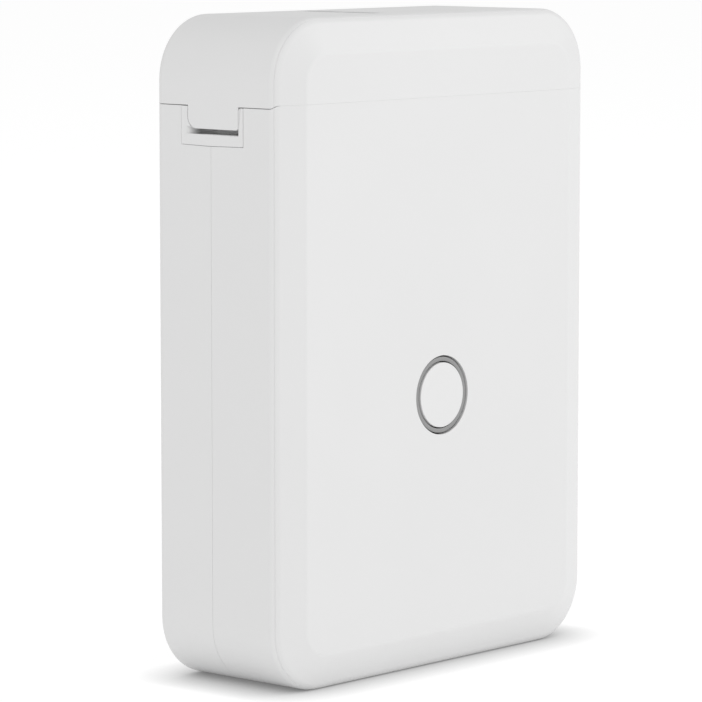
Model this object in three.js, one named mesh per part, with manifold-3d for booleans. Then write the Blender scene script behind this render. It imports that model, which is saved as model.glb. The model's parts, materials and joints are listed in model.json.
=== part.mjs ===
// A pocket thermal label printer: an upright plastic case whose top is a hinged lid. A roll of labels
// drops into a bay, a rubber platen in the lid presses the label on a print head in the case, and a
// motor drives the platen through two gear steps. The label leaves by a slot in the top.
//
// Millimetres, +Z up. The origin is the middle of the footprint. +X is the hinge side, -X the latch
// side, -Y the front face with the button, +Y the back.

import * as THREE from "three";
import { mergeVertices } from "three/addons/utils/BufferGeometryUtils.js";
import Module from "manifold-3d";

// ---------------------------------------------------------------- driving dimensions

const WIDTH = 75.5;
const DEPTH = 28.2;
const HEIGHT = 105;
const CORNER_RADIUS = 10.1; // of the case outline, seen from the front
const EDGE_RADIUS = 1.6; // where a side wall turns into the bevel
const BEVEL_WIDTH = 5.6;
const BEVEL_ANGLE = THREE.MathUtils.degToRad(17);
const WALL = 1.8; // side walls, floor and top
const FACE_WALL = 2.0; // front and back faces
const GAP = 0.3; // between neighbouring pieces

const SPLIT_Y = 0.82; // where the front and back shells meet
const RIM_Z = 91.24; // where the lid meets the case
const HINGE_X = WIDTH / 2 - 0.8; // hinge axis, parallel to Y
const KNUCKLE_RADIUS = WIDTH / 2 - HINGE_X;
const GROOVE_HALF_ANGLE = THREE.MathUtils.degToRad(47.5); // lets the lid turn a right angle

const BUTTON_Z = 44.05;
const BUTTON_RADIUS = 5.2;
const RING_RADIUS = 6.2;

// Screws: radius and height of the head, radius of the shank and of the hole it passes.
const SHELL_SCREW = { head: 1.7, headHeight: 1.2, shank: 0.75, hole: 1.05 };
const FRAME_SCREW = { head: 1.5, headHeight: 0.8, shank: 0.65, hole: 0.95 };
const MOTOR_SCREW = { head: 1.2, headHeight: 0.7, shank: 0.6, hole: 0.9 };
const BOSS_RADIUS = 2.5;
const BOARD_BOSS_RADIUS = 1.9;
const SHELL_SCREW_SEAT_Y = 11.2; // under the heads of the four case screws

const LABEL_WIDTH = 15;
const LABEL_Y = 1.6; // middle of the label across the case
const LABEL_THICKNESS = 0.3;
const ROLL_RADIUS = 17.3;
const CORE_BORE = 6.5;
const CORE_RADIUS = 7.5;
const BAY_X = 14.5;
const BAY_Z = 65;
const BAY_RADIUS = 19;
const BAY_WALL = 1.2;

const PLATEN_X = -2.5;
const PLATEN_Z = 96;
const PLATEN_RADIUS = 3.5;
const MODULE = 0.5; // of the gear teeth
const PRESSURE_ANGLE = THREE.MathUtils.degToRad(20);
const PLATEN_TEETH = 20;
const SMALL_TEETH = 12;
const LARGE_TEETH = 30;
const MESH_SLACK = 0.1; // added to each centre distance
const COMPOUND_DIRECTION = THREE.MathUtils.degToRad(230); // from the platen, in the XZ plane
const MOTOR_DIRECTION = THREE.MathUtils.degToRad(225); // from the compound gear
const MOTOR_RADIUS = 7.5;
const MOTOR_SCREW_CIRCLE = 5.4;
const STUD_RADIUS = 0.75; // gear stud and motor shaft
const SHAFT_RADIUS = 1; // of the platen
const HEAD_PIVOT = [-8.9, 91.7];
const HEAD_PIVOT_RADIUS = 0.8;
const HEAD_TOP = 99.6;
const SPRING_SEAT_X = -13;

// ---------------------------------------------------------------- worked-out places

const HALF_WIDTH = WIDTH / 2;
const HALF_DEPTH = DEPTH / 2;
const INNER_X = HALF_WIDTH - WALL;
const INNER_Y = HALF_DEPTH - FACE_WALL;
const SHELL_RIM_Z = RIM_Z - GAP / 2;
const LID_RIM_Z = RIM_Z + GAP / 2;
const LID_CEILING_Z = HEIGHT - WALL;

const LABEL_FRONT = LABEL_Y - LABEL_WIDTH / 2;
const LABEL_BACK = LABEL_Y + LABEL_WIDTH / 2;
const WEB_X = PLATEN_X - PLATEN_RADIUS - GAP - LABEL_THICKNESS / 2; // label between platen and head
const PRINT_FACE_X = WEB_X - LABEL_THICKNESS / 2 - GAP;
const ROLL_Z = BAY_Z - (BAY_RADIUS - ROLL_RADIUS - GAP);

const pitchRadius = (teeth) => (MODULE * teeth) / 2;
const platenToCompound = pitchRadius(PLATEN_TEETH) + pitchRadius(SMALL_TEETH) + MESH_SLACK;
const compoundToMotor = pitchRadius(LARGE_TEETH) + pitchRadius(SMALL_TEETH) + MESH_SLACK;
const COMPOUND_X = PLATEN_X + platenToCompound * Math.cos(COMPOUND_DIRECTION);
const COMPOUND_Z = PLATEN_Z + platenToCompound * Math.sin(COMPOUND_DIRECTION);
const MOTOR_X = COMPOUND_X + compoundToMotor * Math.cos(MOTOR_DIRECTION);
const MOTOR_Z = COMPOUND_Z + compoundToMotor * Math.sin(MOTOR_DIRECTION);

// Layers from the front face inwards, each as the Y where it starts and ends.
const LARGE_GEAR_LAYER = [-11.8, -10.2];
const SMALL_GEAR_LAYER = [-10.0, -8.2];
const FRONT_PLATE = [-7.9, -6.5];
const BACK_PLATE = [9.9, 11.1];
const BOARD = [-8.7, -7.7];
const BOARD_SIDE_X = 28.3;
const BOARD_Z = [6, 62];

// ---------------------------------------------------------------- solids and meshes

const wasm = await Module();
wasm.setup();

// A closed three.js geometry as a manifold-3d solid.
function solid(geometry) {
  const bare = geometry.clone();
  bare.deleteAttribute("normal");
  bare.deleteAttribute("uv");
  const merged = mergeVertices(bare, 1e-4);
  return new wasm.Manifold(
    new wasm.Mesh({
      numProp: 3,
      vertProperties: merged.attributes.position.array,
      triVerts: new Uint32Array(merged.index.array),
    }),
  );
}

const join = (first, ...others) => others.reduce((sum, other) => sum.add(other), first);
const cut = (first, ...others) => others.reduce((rest, other) => rest.subtract(other), first);

function box(x, y, z) {
  const geometry = new THREE.BoxGeometry(x[1] - x[0], y[1] - y[0], z[1] - z[0]);
  geometry.translate((x[0] + x[1]) / 2, (y[0] + y[1]) / 2, (z[0] + z[1]) / 2);
  return solid(geometry);
}

// A round rod along Y.
function rodY(radius, x, z, y, sides = 24) {
  const geometry = new THREE.CylinderGeometry(radius, radius, y[1] - y[0], sides);
  geometry.translate(x, (y[0] + y[1]) / 2, z);
  return solid(geometry);
}

// A round rod along Z.
function rodZ(radius, x, y, z, sides = 16) {
  const geometry = new THREE.CylinderGeometry(radius, radius, z[1] - z[0], sides);
  geometry.rotateX(Math.PI / 2);
  geometry.translate(x, y, (z[0] + z[1]) / 2);
  return solid(geometry);
}

// A shape drawn in X and Z, pulled out along Y.
function plate(shape, y, curveSegments = 12) {
  const depth = y[1] - y[0];
  const geometry = new THREE.ExtrudeGeometry(shape, { depth, bevelEnabled: false, curveSegments });
  geometry.rotateX(Math.PI / 2);
  geometry.translate(0, y[1], 0);
  return solid(geometry);
}

const polygon = (corners) => new THREE.Shape(corners.map(([u, v]) => new THREE.Vector2(u, v)));

// A shape drawn in Y and Z, pulled out along X.
function slab(shape, x, curveSegments = 6) {
  const depth = x[1] - x[0];
  const geometry = new THREE.ExtrudeGeometry(shape, { depth, bevelEnabled: false, curveSegments });
  geometry.rotateX(Math.PI / 2);
  geometry.rotateZ(Math.PI / 2);
  geometry.translate(x[0], 0, 0);
  return solid(geometry);
}

// A profile of [radius, y] corners, turned round the Y axis.
function turned(profile, sides) {
  const closed = [...profile, profile[0]];
  const points = closed.map(([radius, y]) => new THREE.Vector2(radius, y));
  return solid(new THREE.LatheGeometry(points, sides));
}

// The case outline, drawn inwards by an inset, counter-clockwise from the front.
function outline(inset, steps) {
  const corners = [
    [1, 0, -0.5],
    [1, 1, 0],
    [-1, 1, 0.5],
    [-1, 0, 1],
  ];
  const radius = CORNER_RADIUS - inset;
  return corners.flatMap(([side, top, start]) => {
    const x = side * (HALF_WIDTH - CORNER_RADIUS);
    const z = top ? HEIGHT - CORNER_RADIUS : CORNER_RADIUS;
    return Array.from({ length: steps + 1 }, (_, i) => {
      const angle = (start + (0.5 * i) / steps) * Math.PI;
      return [x + radius * Math.cos(angle), z + radius * Math.sin(angle)];
    });
  });
}

// A closed block through a stack of outlines, each given as [inset, y] from front to back.
function stacked(rings, steps) {
  const loops = rings.map(([inset, y]) => outline(inset, steps).map(([x, z]) => [x, y, z]));
  const count = loops[0].length;
  const indices = [];
  for (let ring = 0; ring + 1 < loops.length; ring++) {
    for (let k = 0; k < count; k++) {
      const a = ring * count + k;
      const b = ring * count + ((k + 1) % count);
      indices.push(a, b + count, b, a, a + count, b + count);
    }
  }
  const last = (loops.length - 1) * count;
  for (let k = 1; k + 1 < count; k++) {
    indices.push(0, k, k + 1, last, last + k + 1, last + k);
  }
  const geometry = new THREE.BufferGeometry();
  geometry.setAttribute("position", new THREE.Float32BufferAttribute(loops.flat(2), 3));
  geometry.setIndex(indices);
  return solid(geometry);
}

// One gear as a shape round its own centre. A tooth points along firstTooth.
function gearShape(teeth, firstTooth) {
  const pitch = pitchRadius(teeth);
  const base = pitch * Math.cos(PRESSURE_ANGLE);
  const root = pitch - 1.1 * MODULE;
  const tip = pitch + 0.8 * MODULE;
  const thinning = 0.06 / pitch; // half of the backlash, as an angle
  const involute = (angle) => Math.tan(angle) - angle;
  const halfAngle = (radius) => {
    const flank = involute(Math.acos(base / Math.max(radius, base)));
    return Math.PI / (2 * teeth) + involute(PRESSURE_ANGLE) - flank - thinning;
  };
  const flankRadii = [root, pitch, tip];
  const corners = [];
  for (let tooth = 0; tooth < teeth; tooth++) {
    const centre = firstTooth + (2 * Math.PI * tooth) / teeth;
    const rising = flankRadii.map((radius) => [radius, centre - halfAngle(radius)]);
    const falling = flankRadii.map((radius) => [radius, centre + halfAngle(radius)]).reverse();
    corners.push(...rising, ...falling);
  }
  return polygon(corners.map(([radius, a]) => [radius * Math.cos(a), radius * Math.sin(a)]));
}

// A screw along Y: its head lies from y = 0 upwards and its shank runs down to -length.
function screw(kind, length) {
  const sides = 12;
  const body = join(
    rodY(kind.shank, 0, 0, [-length, kind.headHeight / 2], sides),
    rodY(kind.head, 0, 0, [0, kind.headHeight], sides),
  );
  const socketRadius = kind.head * 0.4;
  const socketY = [kind.headHeight * 0.5, kind.headHeight + 1];
  return cut(body, rodY(socketRadius, 0, 0, socketY, 6));
}

// A round cord through a list of points.
function tube(radius, points, steps, sides) {
  const section = new THREE.Shape();
  for (let i = 0; i < sides; i++) {
    const angle = (2 * Math.PI * i) / sides;
    const place = [radius * Math.cos(angle), radius * Math.sin(angle)];
    i ? section.lineTo(...place) : section.moveTo(...place);
  }
  section.closePath();
  const extrudePath = new THREE.CatmullRomCurve3(points.map((p) => new THREE.Vector3(...p)));
  return solid(new THREE.ExtrudeGeometry(section, { steps, extrudePath, bevelEnabled: false }));
}

const finish = (color, roughness, metalness = 0) =>
  new THREE.MeshStandardMaterial({ color, roughness, metalness });

const whitePlastic = finish(0xeeeeec, 0.5);
const greyPlastic = finish(0x9c9c9a, 0.45);
const blackPlastic = finish(0x26272a, 0.55);
const darkRubber = finish(0x1d1d1e, 0.9);
const steel = finish(0xb9bcc0, 0.3, 1);
const aluminium = finish(0xc6c8ca, 0.4, 1);
const brass = finish(0xb9975a, 0.35, 1);
const ceramic = finish(0xdcd8cc, 0.4);
const nylon = finish(0xe6e2d6, 0.5);
const paper = finish(0xf4f2ec, 0.9);
const cardboard = finish(0xa98660, 0.95);
const boardGreen = finish(0x1f5c3c, 0.5);
const chipBlack = finish(0x1a1a1c, 0.5);
const foil = finish(0x9fa6ae, 0.4, 0.6);
const amber = finish(0xb8702a, 0.5);

const printer = new THREE.Group();
const housing = new THREE.Group();
const lid = new THREE.Group();
printer.add(housing, lid);

function add(parent, name, shape, material, position = [0, 0, 0], rotation = [0, 0, 0]) {
  const mesh = shape.getMesh();
  const geometry = new THREE.BufferGeometry();
  geometry.setAttribute("position", new THREE.BufferAttribute(mesh.vertProperties, mesh.numProp));
  geometry.setIndex(new THREE.BufferAttribute(mesh.triVerts, 1));
  geometry.computeVertexNormals();
  const part = new THREE.Mesh(geometry, material);
  part.name = name;
  part.position.set(...position);
  part.rotation.set(...rotation);
  parent.add(part);
}

// ---------------------------------------------------------------- case

const OUTLINE_STEPS = 6;
const FAR = 200; // past every edge of the case

// The whole printer as one block: flat faces, a bevel round each and a fillet to the side walls.
function hull() {
  const filletY =
    HALF_DEPTH -
    (BEVEL_WIDTH - EDGE_RADIUS) * Math.tan(BEVEL_ANGLE) -
    EDGE_RADIUS / Math.cos(BEVEL_ANGLE);
  const turn = Math.PI / 2 - BEVEL_ANGLE;
  const front = [[BEVEL_WIDTH, -HALF_DEPTH]];
  for (const part of [1, 0.5, 0]) {
    const angle = turn * part;
    front.push([
      EDGE_RADIUS * (1 - Math.cos(angle)),
      -filletY - EDGE_RADIUS * Math.sin(angle),
    ]);
  }
  const back = front.map(([inset, y]) => [inset, -y]).reverse();
  return stacked([...front, ...back], OUTLINE_STEPS);
}

// The room inside the walls: its faces are chamfered to follow the bevel.
function cavity() {
  const bevelDrop = 1;
  const faceInset = BEVEL_WIDTH + 0.2;
  return stacked(
    [
      [faceInset, -INNER_Y],
      [WALL, -INNER_Y + bevelDrop],
      [WALL, INNER_Y - bevelDrop],
      [faceInset, INNER_Y],
    ],
    OUTLINE_STEPS,
  );
}

// The V groove behind the hinge axis, cut out of case and lid alike.
function hingeGroove() {
  const reach = 4;
  const rise = reach * Math.tan(GROOVE_HALF_ANGLE);
  return plate(
    polygon([
      [HINGE_X, RIM_Z],
      [HINGE_X + reach, RIM_Z - rise],
      [HINGE_X + reach, RIM_Z + rise],
    ]),
    [-FAR, FAR],
  );
}

// Three knuckles on one pin: the lid's in the middle, one of each shell outside it.
const HINGE_SIDES = 20;
const lidKnuckleHalf = 6;
const hingeHalf = 9.8;
const lidKnuckle = [SPLIT_Y - lidKnuckleHalf, SPLIT_Y + lidKnuckleHalf];
const frontKnuckle = [SPLIT_Y - hingeHalf, lidKnuckle[0] - GAP];
const backKnuckle = [lidKnuckle[1] + GAP, SPLIT_Y + hingeHalf];
const barrel = (y) => rodY(KNUCKLE_RADIUS, HINGE_X, RIM_Z, y, HINGE_SIDES);
const barrelRoom = ([from, to]) =>
  rodY(KNUCKLE_RADIUS + GAP, HINGE_X, RIM_Z, [from - GAP, to + GAP], HINGE_SIDES);
const pinRadius = 0.35;
const pinBoreRadius = 0.52;
const pinBore = rodY(pinBoreRadius, HINGE_X, RIM_Z, [frontKnuckle[0] - GAP, backKnuckle[1] + GAP], 12);

// Lid latch: a tab of the lid comes down into a U-shaped insert in the -X wall.
const TAB_Y = [-4.9, 5.75];
const TAB_Z = 87.7;
const INSERT_Y = [-5.95, 7.1];
const INSERT_Z = 85.2;
const SLOT_Z = 86.83; // floor of the finger slot under the tab
const HOOK_Y = [-3, 4];
const insertBack = [-INNER_X + 0.7, -INNER_X + 1.7];

const bossPlaces = [
  [-31.5, 7],
  [31.5, 7],
  [-31.5, 44],
  [31.5, 44],
];
const boardScrewPlaces = [
  [-25, 10],
  [25, 38],
];
const bayScrewPlaces = [
  [-8.6, 52],
  [14.5, 42.4],
];
const frameScrewPlaces = [
  [-26.4, 77],
  [-26.4, 88],
];
const SHELL_SCREW_LENGTH = 15.5;
const SHELL_SCREW_END_Y = SHELL_SCREW_SEAT_Y - SHELL_SCREW_LENGTH;
const usbZ = [11.5, 20.5];
const usbY = [-7.4, -4.2];

// Both shells as one piece, without the lid's knuckle and the latch insert.
function wholeCase() {
  const insertRoom = box(
    [-FAR, insertBack[0]],
    [INSERT_Y[0] - GAP / 2, INSERT_Y[1] + GAP / 2],
    [INSERT_Z - GAP / 2, FAR],
  );
  return cut(hull(), cavity(), hingeGroove(), barrelRoom(lidKnuckle), insertRoom);
}

function frontShell() {
  const half = box([-FAR, FAR], [-FAR, SPLIT_Y - GAP / 2], [-FAR, SHELL_RIM_Z]);
  let shell = wholeCase().intersect(half).add(barrel(frontKnuckle));
  for (const [x, z] of bossPlaces) {
    const boss = rodY(BOSS_RADIUS, x, z, [-INNER_Y - 0.5, SPLIT_Y - GAP / 2]);
    const hole = rodY(SHELL_SCREW.hole, x, z, [SHELL_SCREW_END_Y - 1, FAR], 16);
    shell = shell.add(boss).subtract(hole);
  }
  for (const [x, z] of boardScrewPlaces) {
    const boss = rodY(BOARD_BOSS_RADIUS, x, z, [-INNER_Y - 0.5, BOARD[0] - GAP]);
    const hole = rodY(FRAME_SCREW.hole, x, z, [-INNER_Y + 0.3, FAR], 16);
    shell = shell.add(boss).subtract(hole);
  }
  const buttonHole = rodY(RING_RADIUS + GAP / 2, 0, BUTTON_Z, [-FAR, -INNER_Y + 1], 32);
  const usbHole = box(
    [INNER_X - 1, FAR],
    [usbY[0] - GAP, usbY[1] + GAP],
    [usbZ[0] - GAP, usbZ[1] + GAP],
  );
  return cut(shell, buttonHole, usbHole, pinBore);
}

function backShell() {
  const half = box([-FAR, FAR], [SPLIT_Y + GAP / 2, FAR], [-FAR, SHELL_RIM_Z]);
  let shell = wholeCase().intersect(half).add(barrel(backKnuckle));
  for (const [x, z] of bossPlaces) {
    const boss = rodY(BOSS_RADIUS, x, z, [SPLIT_Y + GAP / 2, INNER_Y + 0.5]);
    const hole = rodY(SHELL_SCREW.hole, x, z, [-FAR, FAR], 16);
    const recess = rodY(SHELL_SCREW.head + GAP, x, z, [SHELL_SCREW_SEAT_Y - GAP, FAR], 20);
    shell = shell.add(boss).subtract(hole).subtract(recess);
  }
  const pilotEnd = INNER_Y + 1.1;
  for (const [x, z] of [...bayScrewPlaces, ...frameScrewPlaces]) {
    shell = shell.subtract(rodY(FRAME_SCREW.hole, x, z, [-FAR, pilotEnd], 16));
  }
  return shell.subtract(pinBore);
}

// A frame round the lid's tab, open at its foot as a finger slot, with a ridge that holds the hook.
function latchInsert() {
  const frame = box([-HALF_WIDTH, insertBack[1]], INSERT_Y, [INSERT_Z, SHELL_RIM_Z]);
  const tabRoom = box(
    [-FAR, insertBack[0]],
    [TAB_Y[0] - GAP / 2, TAB_Y[1] + GAP / 2],
    [SLOT_Z, FAR],
  );
  const catchRidge = box([insertBack[0] - 0.3, insertBack[1]], HOOK_Y, [89.6, 90.4]);
  return cut(frame, tabRoom).add(catchRidge);
}

// ---------------------------------------------------------------- lid

// The label's way out of the top, and the screws that hold the lid frame.
const OUTLET_X = [PRINT_FACE_X - 1.7, WEB_X + 1.1];
const OUTLET_Y = [LABEL_FRONT - 0.8, LABEL_BACK + 0.8];
const lidScrewPlaces = [
  [7, -3.5],
  [7, 6.5],
];

function lidShell() {
  const room = box([-FAR, FAR], [-FAR, FAR], [LID_RIM_Z, FAR]);
  const shell = cut(
    hull(),
    cavity(),
    hingeGroove(),
    barrelRoom(frontKnuckle),
    barrelRoom(backKnuckle),
  ).intersect(room);
  const tab = box([-HALF_WIDTH, -INNER_X], TAB_Y, [TAB_Z, LID_RIM_Z + 2]);
  const hook = box([-INNER_X - 0.1, -INNER_X + 0.28], HOOK_Y, [88.4, 89.2]);
  const outlet = box(OUTLET_X, OUTLET_Y, [LID_CEILING_Z - 1, FAR]);
  const pilotEnd = HEIGHT - 0.7;
  const screwHoles = lidScrewPlaces.map(([x, y]) => rodZ(FRAME_SCREW.hole, x, y, [90, pilotEnd]));
  return cut(join(shell, tab, hook, barrel(lidKnuckle)), outlet, pinBore, ...screwHoles);
}

const FLANGE_Z = 101.5; // underside of the lid frame's flange
const BUSH_RADIUS = 2.05;

// Carries the platen: two side cheeks, a bridge behind the roller and a flange under the lid's top.
function lidFrame() {
  const thickness = 1.5;
  const top = LID_CEILING_Z - GAP;
  const cheekX = [PLATEN_X - 2.5, PLATEN_X + 5.6];
  const bridgeX = [cheekX[1] - thickness, cheekX[1]];
  const flangeX = [bridgeX[0], 10];
  const z = [93.6, top];
  const acrossY = [FRONT_PLATE[0], BACK_PLATE[1]];
  const body = join(
    box(cheekX, [FRONT_PLATE[0], FRONT_PLATE[1] - 0.2], z),
    box(cheekX, BACK_PLATE, z),
    box(bridgeX, acrossY, z),
    box(flangeX, acrossY, [FLANGE_Z, top]),
  );
  const bushHole = rodY(BUSH_RADIUS + 0.25, PLATEN_X, PLATEN_Z, [-FAR, FAR], 16);
  const screwHoles = lidScrewPlaces.map(([x, y]) => rodZ(FRAME_SCREW.hole, x, y, [100, FAR]));
  return cut(body, bushHole, ...screwHoles);
}

// A sheet-metal angle whose upright edge is cut into teeth.
function tearBar() {
  const sheet = 0.5;
  const flangeWidth = 3;
  const footZ = LID_CEILING_Z - 2;
  const uprightX = [OUTLET_X[0] + GAP, OUTLET_X[0] + GAP + sheet];
  const barY = [OUTLET_Y[0] + GAP, OUTLET_Y[1] - GAP];
  const teeth = 12;
  const pitch = (barY[1] - barY[0]) / teeth;
  const toothTop = HEIGHT - 0.2;
  const toothFoot = toothTop - 0.8;
  const edge = [[barY[0], footZ]];
  for (let i = 0; i < teeth; i++) {
    const y = barY[0] + i * pitch;
    edge.push([y, toothFoot], [y + pitch / 2, toothTop]);
  }
  edge.push([barY[1], toothFoot], [barY[1], footZ]);
  const flange = box([uprightX[0] - flangeWidth, uprightX[1]], barY, [footZ, footZ + sheet]);
  return join(slab(polygon(edge.reverse()), uprightX), flange);
}

// ---------------------------------------------------------------- print mechanism

const motorScrewPlaces = [135, 315].map((degrees) => {
  const angle = THREE.MathUtils.degToRad(degrees);
  const x = MOTOR_X + MOTOR_SCREW_CIRCLE * Math.cos(angle);
  const z = MOTOR_Z + MOTOR_SCREW_CIRCLE * Math.sin(angle);
  return [x, z];
});

// Two side plates with a wall, a floor and a spring seat between them, and an ear that is screwed on.
function printFrame() {
  const x = [-24, PRINT_FACE_X + 1.6];
  const z = [73.4, 99.4];
  const sheet = 1;
  const earX = [x[0] - 5, x[0] + 0.5];
  const earZ = [z[0] + 0.6, 91];
  const seatX = [SPRING_SEAT_X - 1.2, SPRING_SEAT_X];
  const seatZ = [94.5, z[1]];
  const acrossY = [FRONT_PLATE[0], BACK_PLATE[1]];
  const body = join(
    box(x, FRONT_PLATE, z),
    box(x, BACK_PLATE, z),
    box([x[0], x[0] + sheet], acrossY, z),
    box([x[0], -7.5], acrossY, [z[0], z[0] + sheet]),
    box(seatX, acrossY, seatZ),
    box(earX, BACK_PLATE, earZ),
  );
  const motorNose = 2.2;
  const holes = [
    rodY(motorNose, MOTOR_X, MOTOR_Z, [-FAR, 0]),
    rodY(HEAD_PIVOT_RADIUS + 0.25, ...HEAD_PIVOT, [-FAR, FAR], 16),
    rodY(STUD_RADIUS + GAP, COMPOUND_X, COMPOUND_Z, [-FAR, 0], 16),
    ...motorScrewPlaces.map(([sx, sz]) => rodY(MOTOR_SCREW.hole, sx, sz, [-FAR, 0], 12)),
    ...frameScrewPlaces.map(([sx, sz]) => rodY(FRAME_SCREW.hole, sx, sz, [0, FAR], 12)),
  ];
  const cableNotch = box([x[0] - 1, x[0] + 2], [-1.5, 3.5], [90.5, FAR]);
  return cut(body, cableNotch, ...holes);
}

function motorCan() {
  const canY = [-6.2, 7];
  const capY = [canY[1] - 0.5, canY[1] + 1];
  const can = rodY(MOTOR_RADIUS, MOTOR_X, MOTOR_Z, canY, 32);
  const endCap = rodY(MOTOR_RADIUS - 1.5, MOTOR_X, MOTOR_Z, capY, 24);
  const holeY = [-FAR, canY[0] + 2.2];
  const holes = motorScrewPlaces.map(([x, z]) => rodY(MOTOR_SCREW.hole, x, z, holeY, 12));
  return cut(join(can, endCap), ...holes);
}

function gear(teeth, firstTooth, layer, bore) {
  return cut(plate(gearShape(teeth, firstTooth), layer), rodY(bore, 0, 0, [-FAR, FAR], 16));
}

function compoundGear(smallTooth, largeTooth) {
  const bore = STUD_RADIUS + 0.2;
  return join(
    gear(LARGE_TEETH, largeTooth, LARGE_GEAR_LAYER, bore),
    gear(SMALL_TEETH, smallTooth, [LARGE_GEAR_LAYER[1] - 0.4, SMALL_GEAR_LAYER[1]], bore),
  );
}

// Follower gear's tooth phase, so that its gap faces the driver's tooth.
const facing = (direction, teeth) => direction + Math.PI + Math.PI / teeth;

// A coil spring along X, starting at x = 0.
function helicalSpring(radius, wire, length, turns) {
  const points = [];
  const stepsPerTurn = 8;
  for (let i = 0; i <= turns * stepsPerTurn; i++) {
    const angle = (2 * Math.PI * i) / stepsPerTurn;
    const along = wire + ((length - 2 * wire) * i) / (turns * stepsPerTurn);
    points.push([along, radius * Math.cos(angle), radius * Math.sin(angle)]);
  }
  return tube(wire, points, turns * stepsPerTurn, 5);
}

// ---------------------------------------------------------------- label roll and its bay

// A cradle with a round floor, two side walls and a low lip where the label leaves.
function rollBay() {
  const wallTop = 88;
  const lipTop = 67;
  const outer = BAY_RADIUS + BAY_WALL;
  const outerY = [-7.4, 10.9];
  const innerY = [LABEL_FRONT - 0.6, LABEL_BACK + 0.6];
  const earY = [innerY[1], outerY[1]];
  const side = new THREE.Shape();
  side.moveTo(BAY_X + outer, wallTop);
  side.lineTo(BAY_X - BAY_RADIUS - 0.4, wallTop);
  side.lineTo(BAY_X - BAY_RADIUS - 0.4, lipTop);
  side.lineTo(BAY_X - outer, lipTop);
  side.lineTo(BAY_X - outer, BAY_Z);
  side.absarc(BAY_X, BAY_Z, outer, Math.PI, 2 * Math.PI, false);
  side.closePath();
  const room = new THREE.Shape();
  room.moveTo(BAY_X + BAY_RADIUS, FAR);
  room.lineTo(BAY_X - BAY_RADIUS, FAR);
  room.lineTo(BAY_X - BAY_RADIUS, BAY_Z);
  room.absarc(BAY_X, BAY_Z, BAY_RADIUS, Math.PI, 2 * Math.PI, false);
  room.closePath();
  const exit = box([-FAR, BAY_X], innerY, [lipTop, FAR]);
  const body = cut(plate(side, outerY, 20), plate(room, innerY, 20), exit);
  const ears = bayScrewPlaces.map(([x, z]) => rodY(BOSS_RADIUS, x, z, earY));
  const [armX, armZ] = bayScrewPlaces[0];
  const arm = box([armX, BAY_X - 12], earY, [armZ - BOSS_RADIUS, armZ + BOSS_RADIUS]);
  const holes = bayScrewPlaces.map(([x, z]) => rodY(FRAME_SCREW.hole, x, z, [0, FAR], 12));
  return cut(join(body, ...ears, arm), ...holes);
}

// A plain tube round the Y axis.
const ring = (inner, outer, y, sides) =>
  turned(
    [
      [inner, y[0]],
      [outer, y[0]],
      [outer, y[1]],
      [inner, y[1]],
    ],
    sides,
  );

// The loose end of the label band: off the roll, over the lip and up between head and platen.
function labelWeb() {
  const half = LABEL_THICKNESS / 2;
  const radius = ROLL_RADIUS + GAP + half;
  const bend = new THREE.Vector2(WEB_X, 91.5);
  const centre = new THREE.Vector2(BAY_X, ROLL_Z);
  const toBend = bend.clone().sub(centre);
  const angle = toBend.angle() + Math.acos(radius / toBend.length());
  const leave = new THREE.Vector2(Math.cos(angle), Math.sin(angle)).multiplyScalar(radius).add(centre);
  const top = 102;
  return plate(
    polygon([
      [leave.x + half, leave.y],
      [bend.x + half, bend.y],
      [bend.x + half, top],
      [bend.x - half, top],
      [bend.x - half, bend.y],
      [leave.x - half, leave.y],
    ]),
    [LABEL_FRONT, LABEL_BACK],
  );
}

// ---------------------------------------------------------------- button

const FLANGE_FRONT = -10.7; // the cap's flange stands behind the ring
const FLANGE_BACK = -10.1;

// A hollow cap with a flange that keeps it in and a stem that presses the switch.
function buttonCap() {
  const stemRadius = 1.3;
  const stemEnd = -11.25;
  const hollowRadius = 4.2;
  const hollowFront = -12.3;
  return turned(
    [
      [0, -HALF_DEPTH],
      [BUTTON_RADIUS, -HALF_DEPTH],
      [BUTTON_RADIUS, FLANGE_FRONT],
      [RING_RADIUS, FLANGE_FRONT],
      [RING_RADIUS, FLANGE_BACK],
      [hollowRadius, FLANGE_BACK],
      [hollowRadius, hollowFront],
      [stemRadius, hollowFront],
      [stemRadius, stemEnd],
      [0, stemEnd],
    ],
    32,
  );
}

// A translucent ring round the cap, with a shoulder that rests on the inside of the face.
function lightRing() {
  const inner = BUTTON_RADIUS + GAP / 2;
  const face = -HALF_DEPTH + 0.25;
  const shoulder = -INNER_Y + GAP;
  const shoulderRadius = RING_RADIUS + 1.2;
  const end = FLANGE_FRONT - GAP;
  return turned(
    [
      [inner, face],
      [RING_RADIUS, face],
      [RING_RADIUS, shoulder],
      [shoulderRadius, shoulder],
      [shoulderRadius, end],
      [inner, end],
    ],
    32,
  );
}

// ---------------------------------------------------------------- electronics

// The circuit board, with a tongue that carries the socket out to the side wall.
function mainBoard() {
  const card = box([-BOARD_SIDE_X, BOARD_SIDE_X], BOARD, BOARD_Z);
  const tongue = box([20, INNER_X - 2], BOARD, [usbZ[0] - 0.5, usbZ[1] + 0.5]);
  const holes = boardScrewPlaces.map(([x, z]) => rodY(FRAME_SCREW.hole, x, z, [-FAR, FAR], 12));
  return cut(join(card, tongue), ...holes);
}

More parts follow.
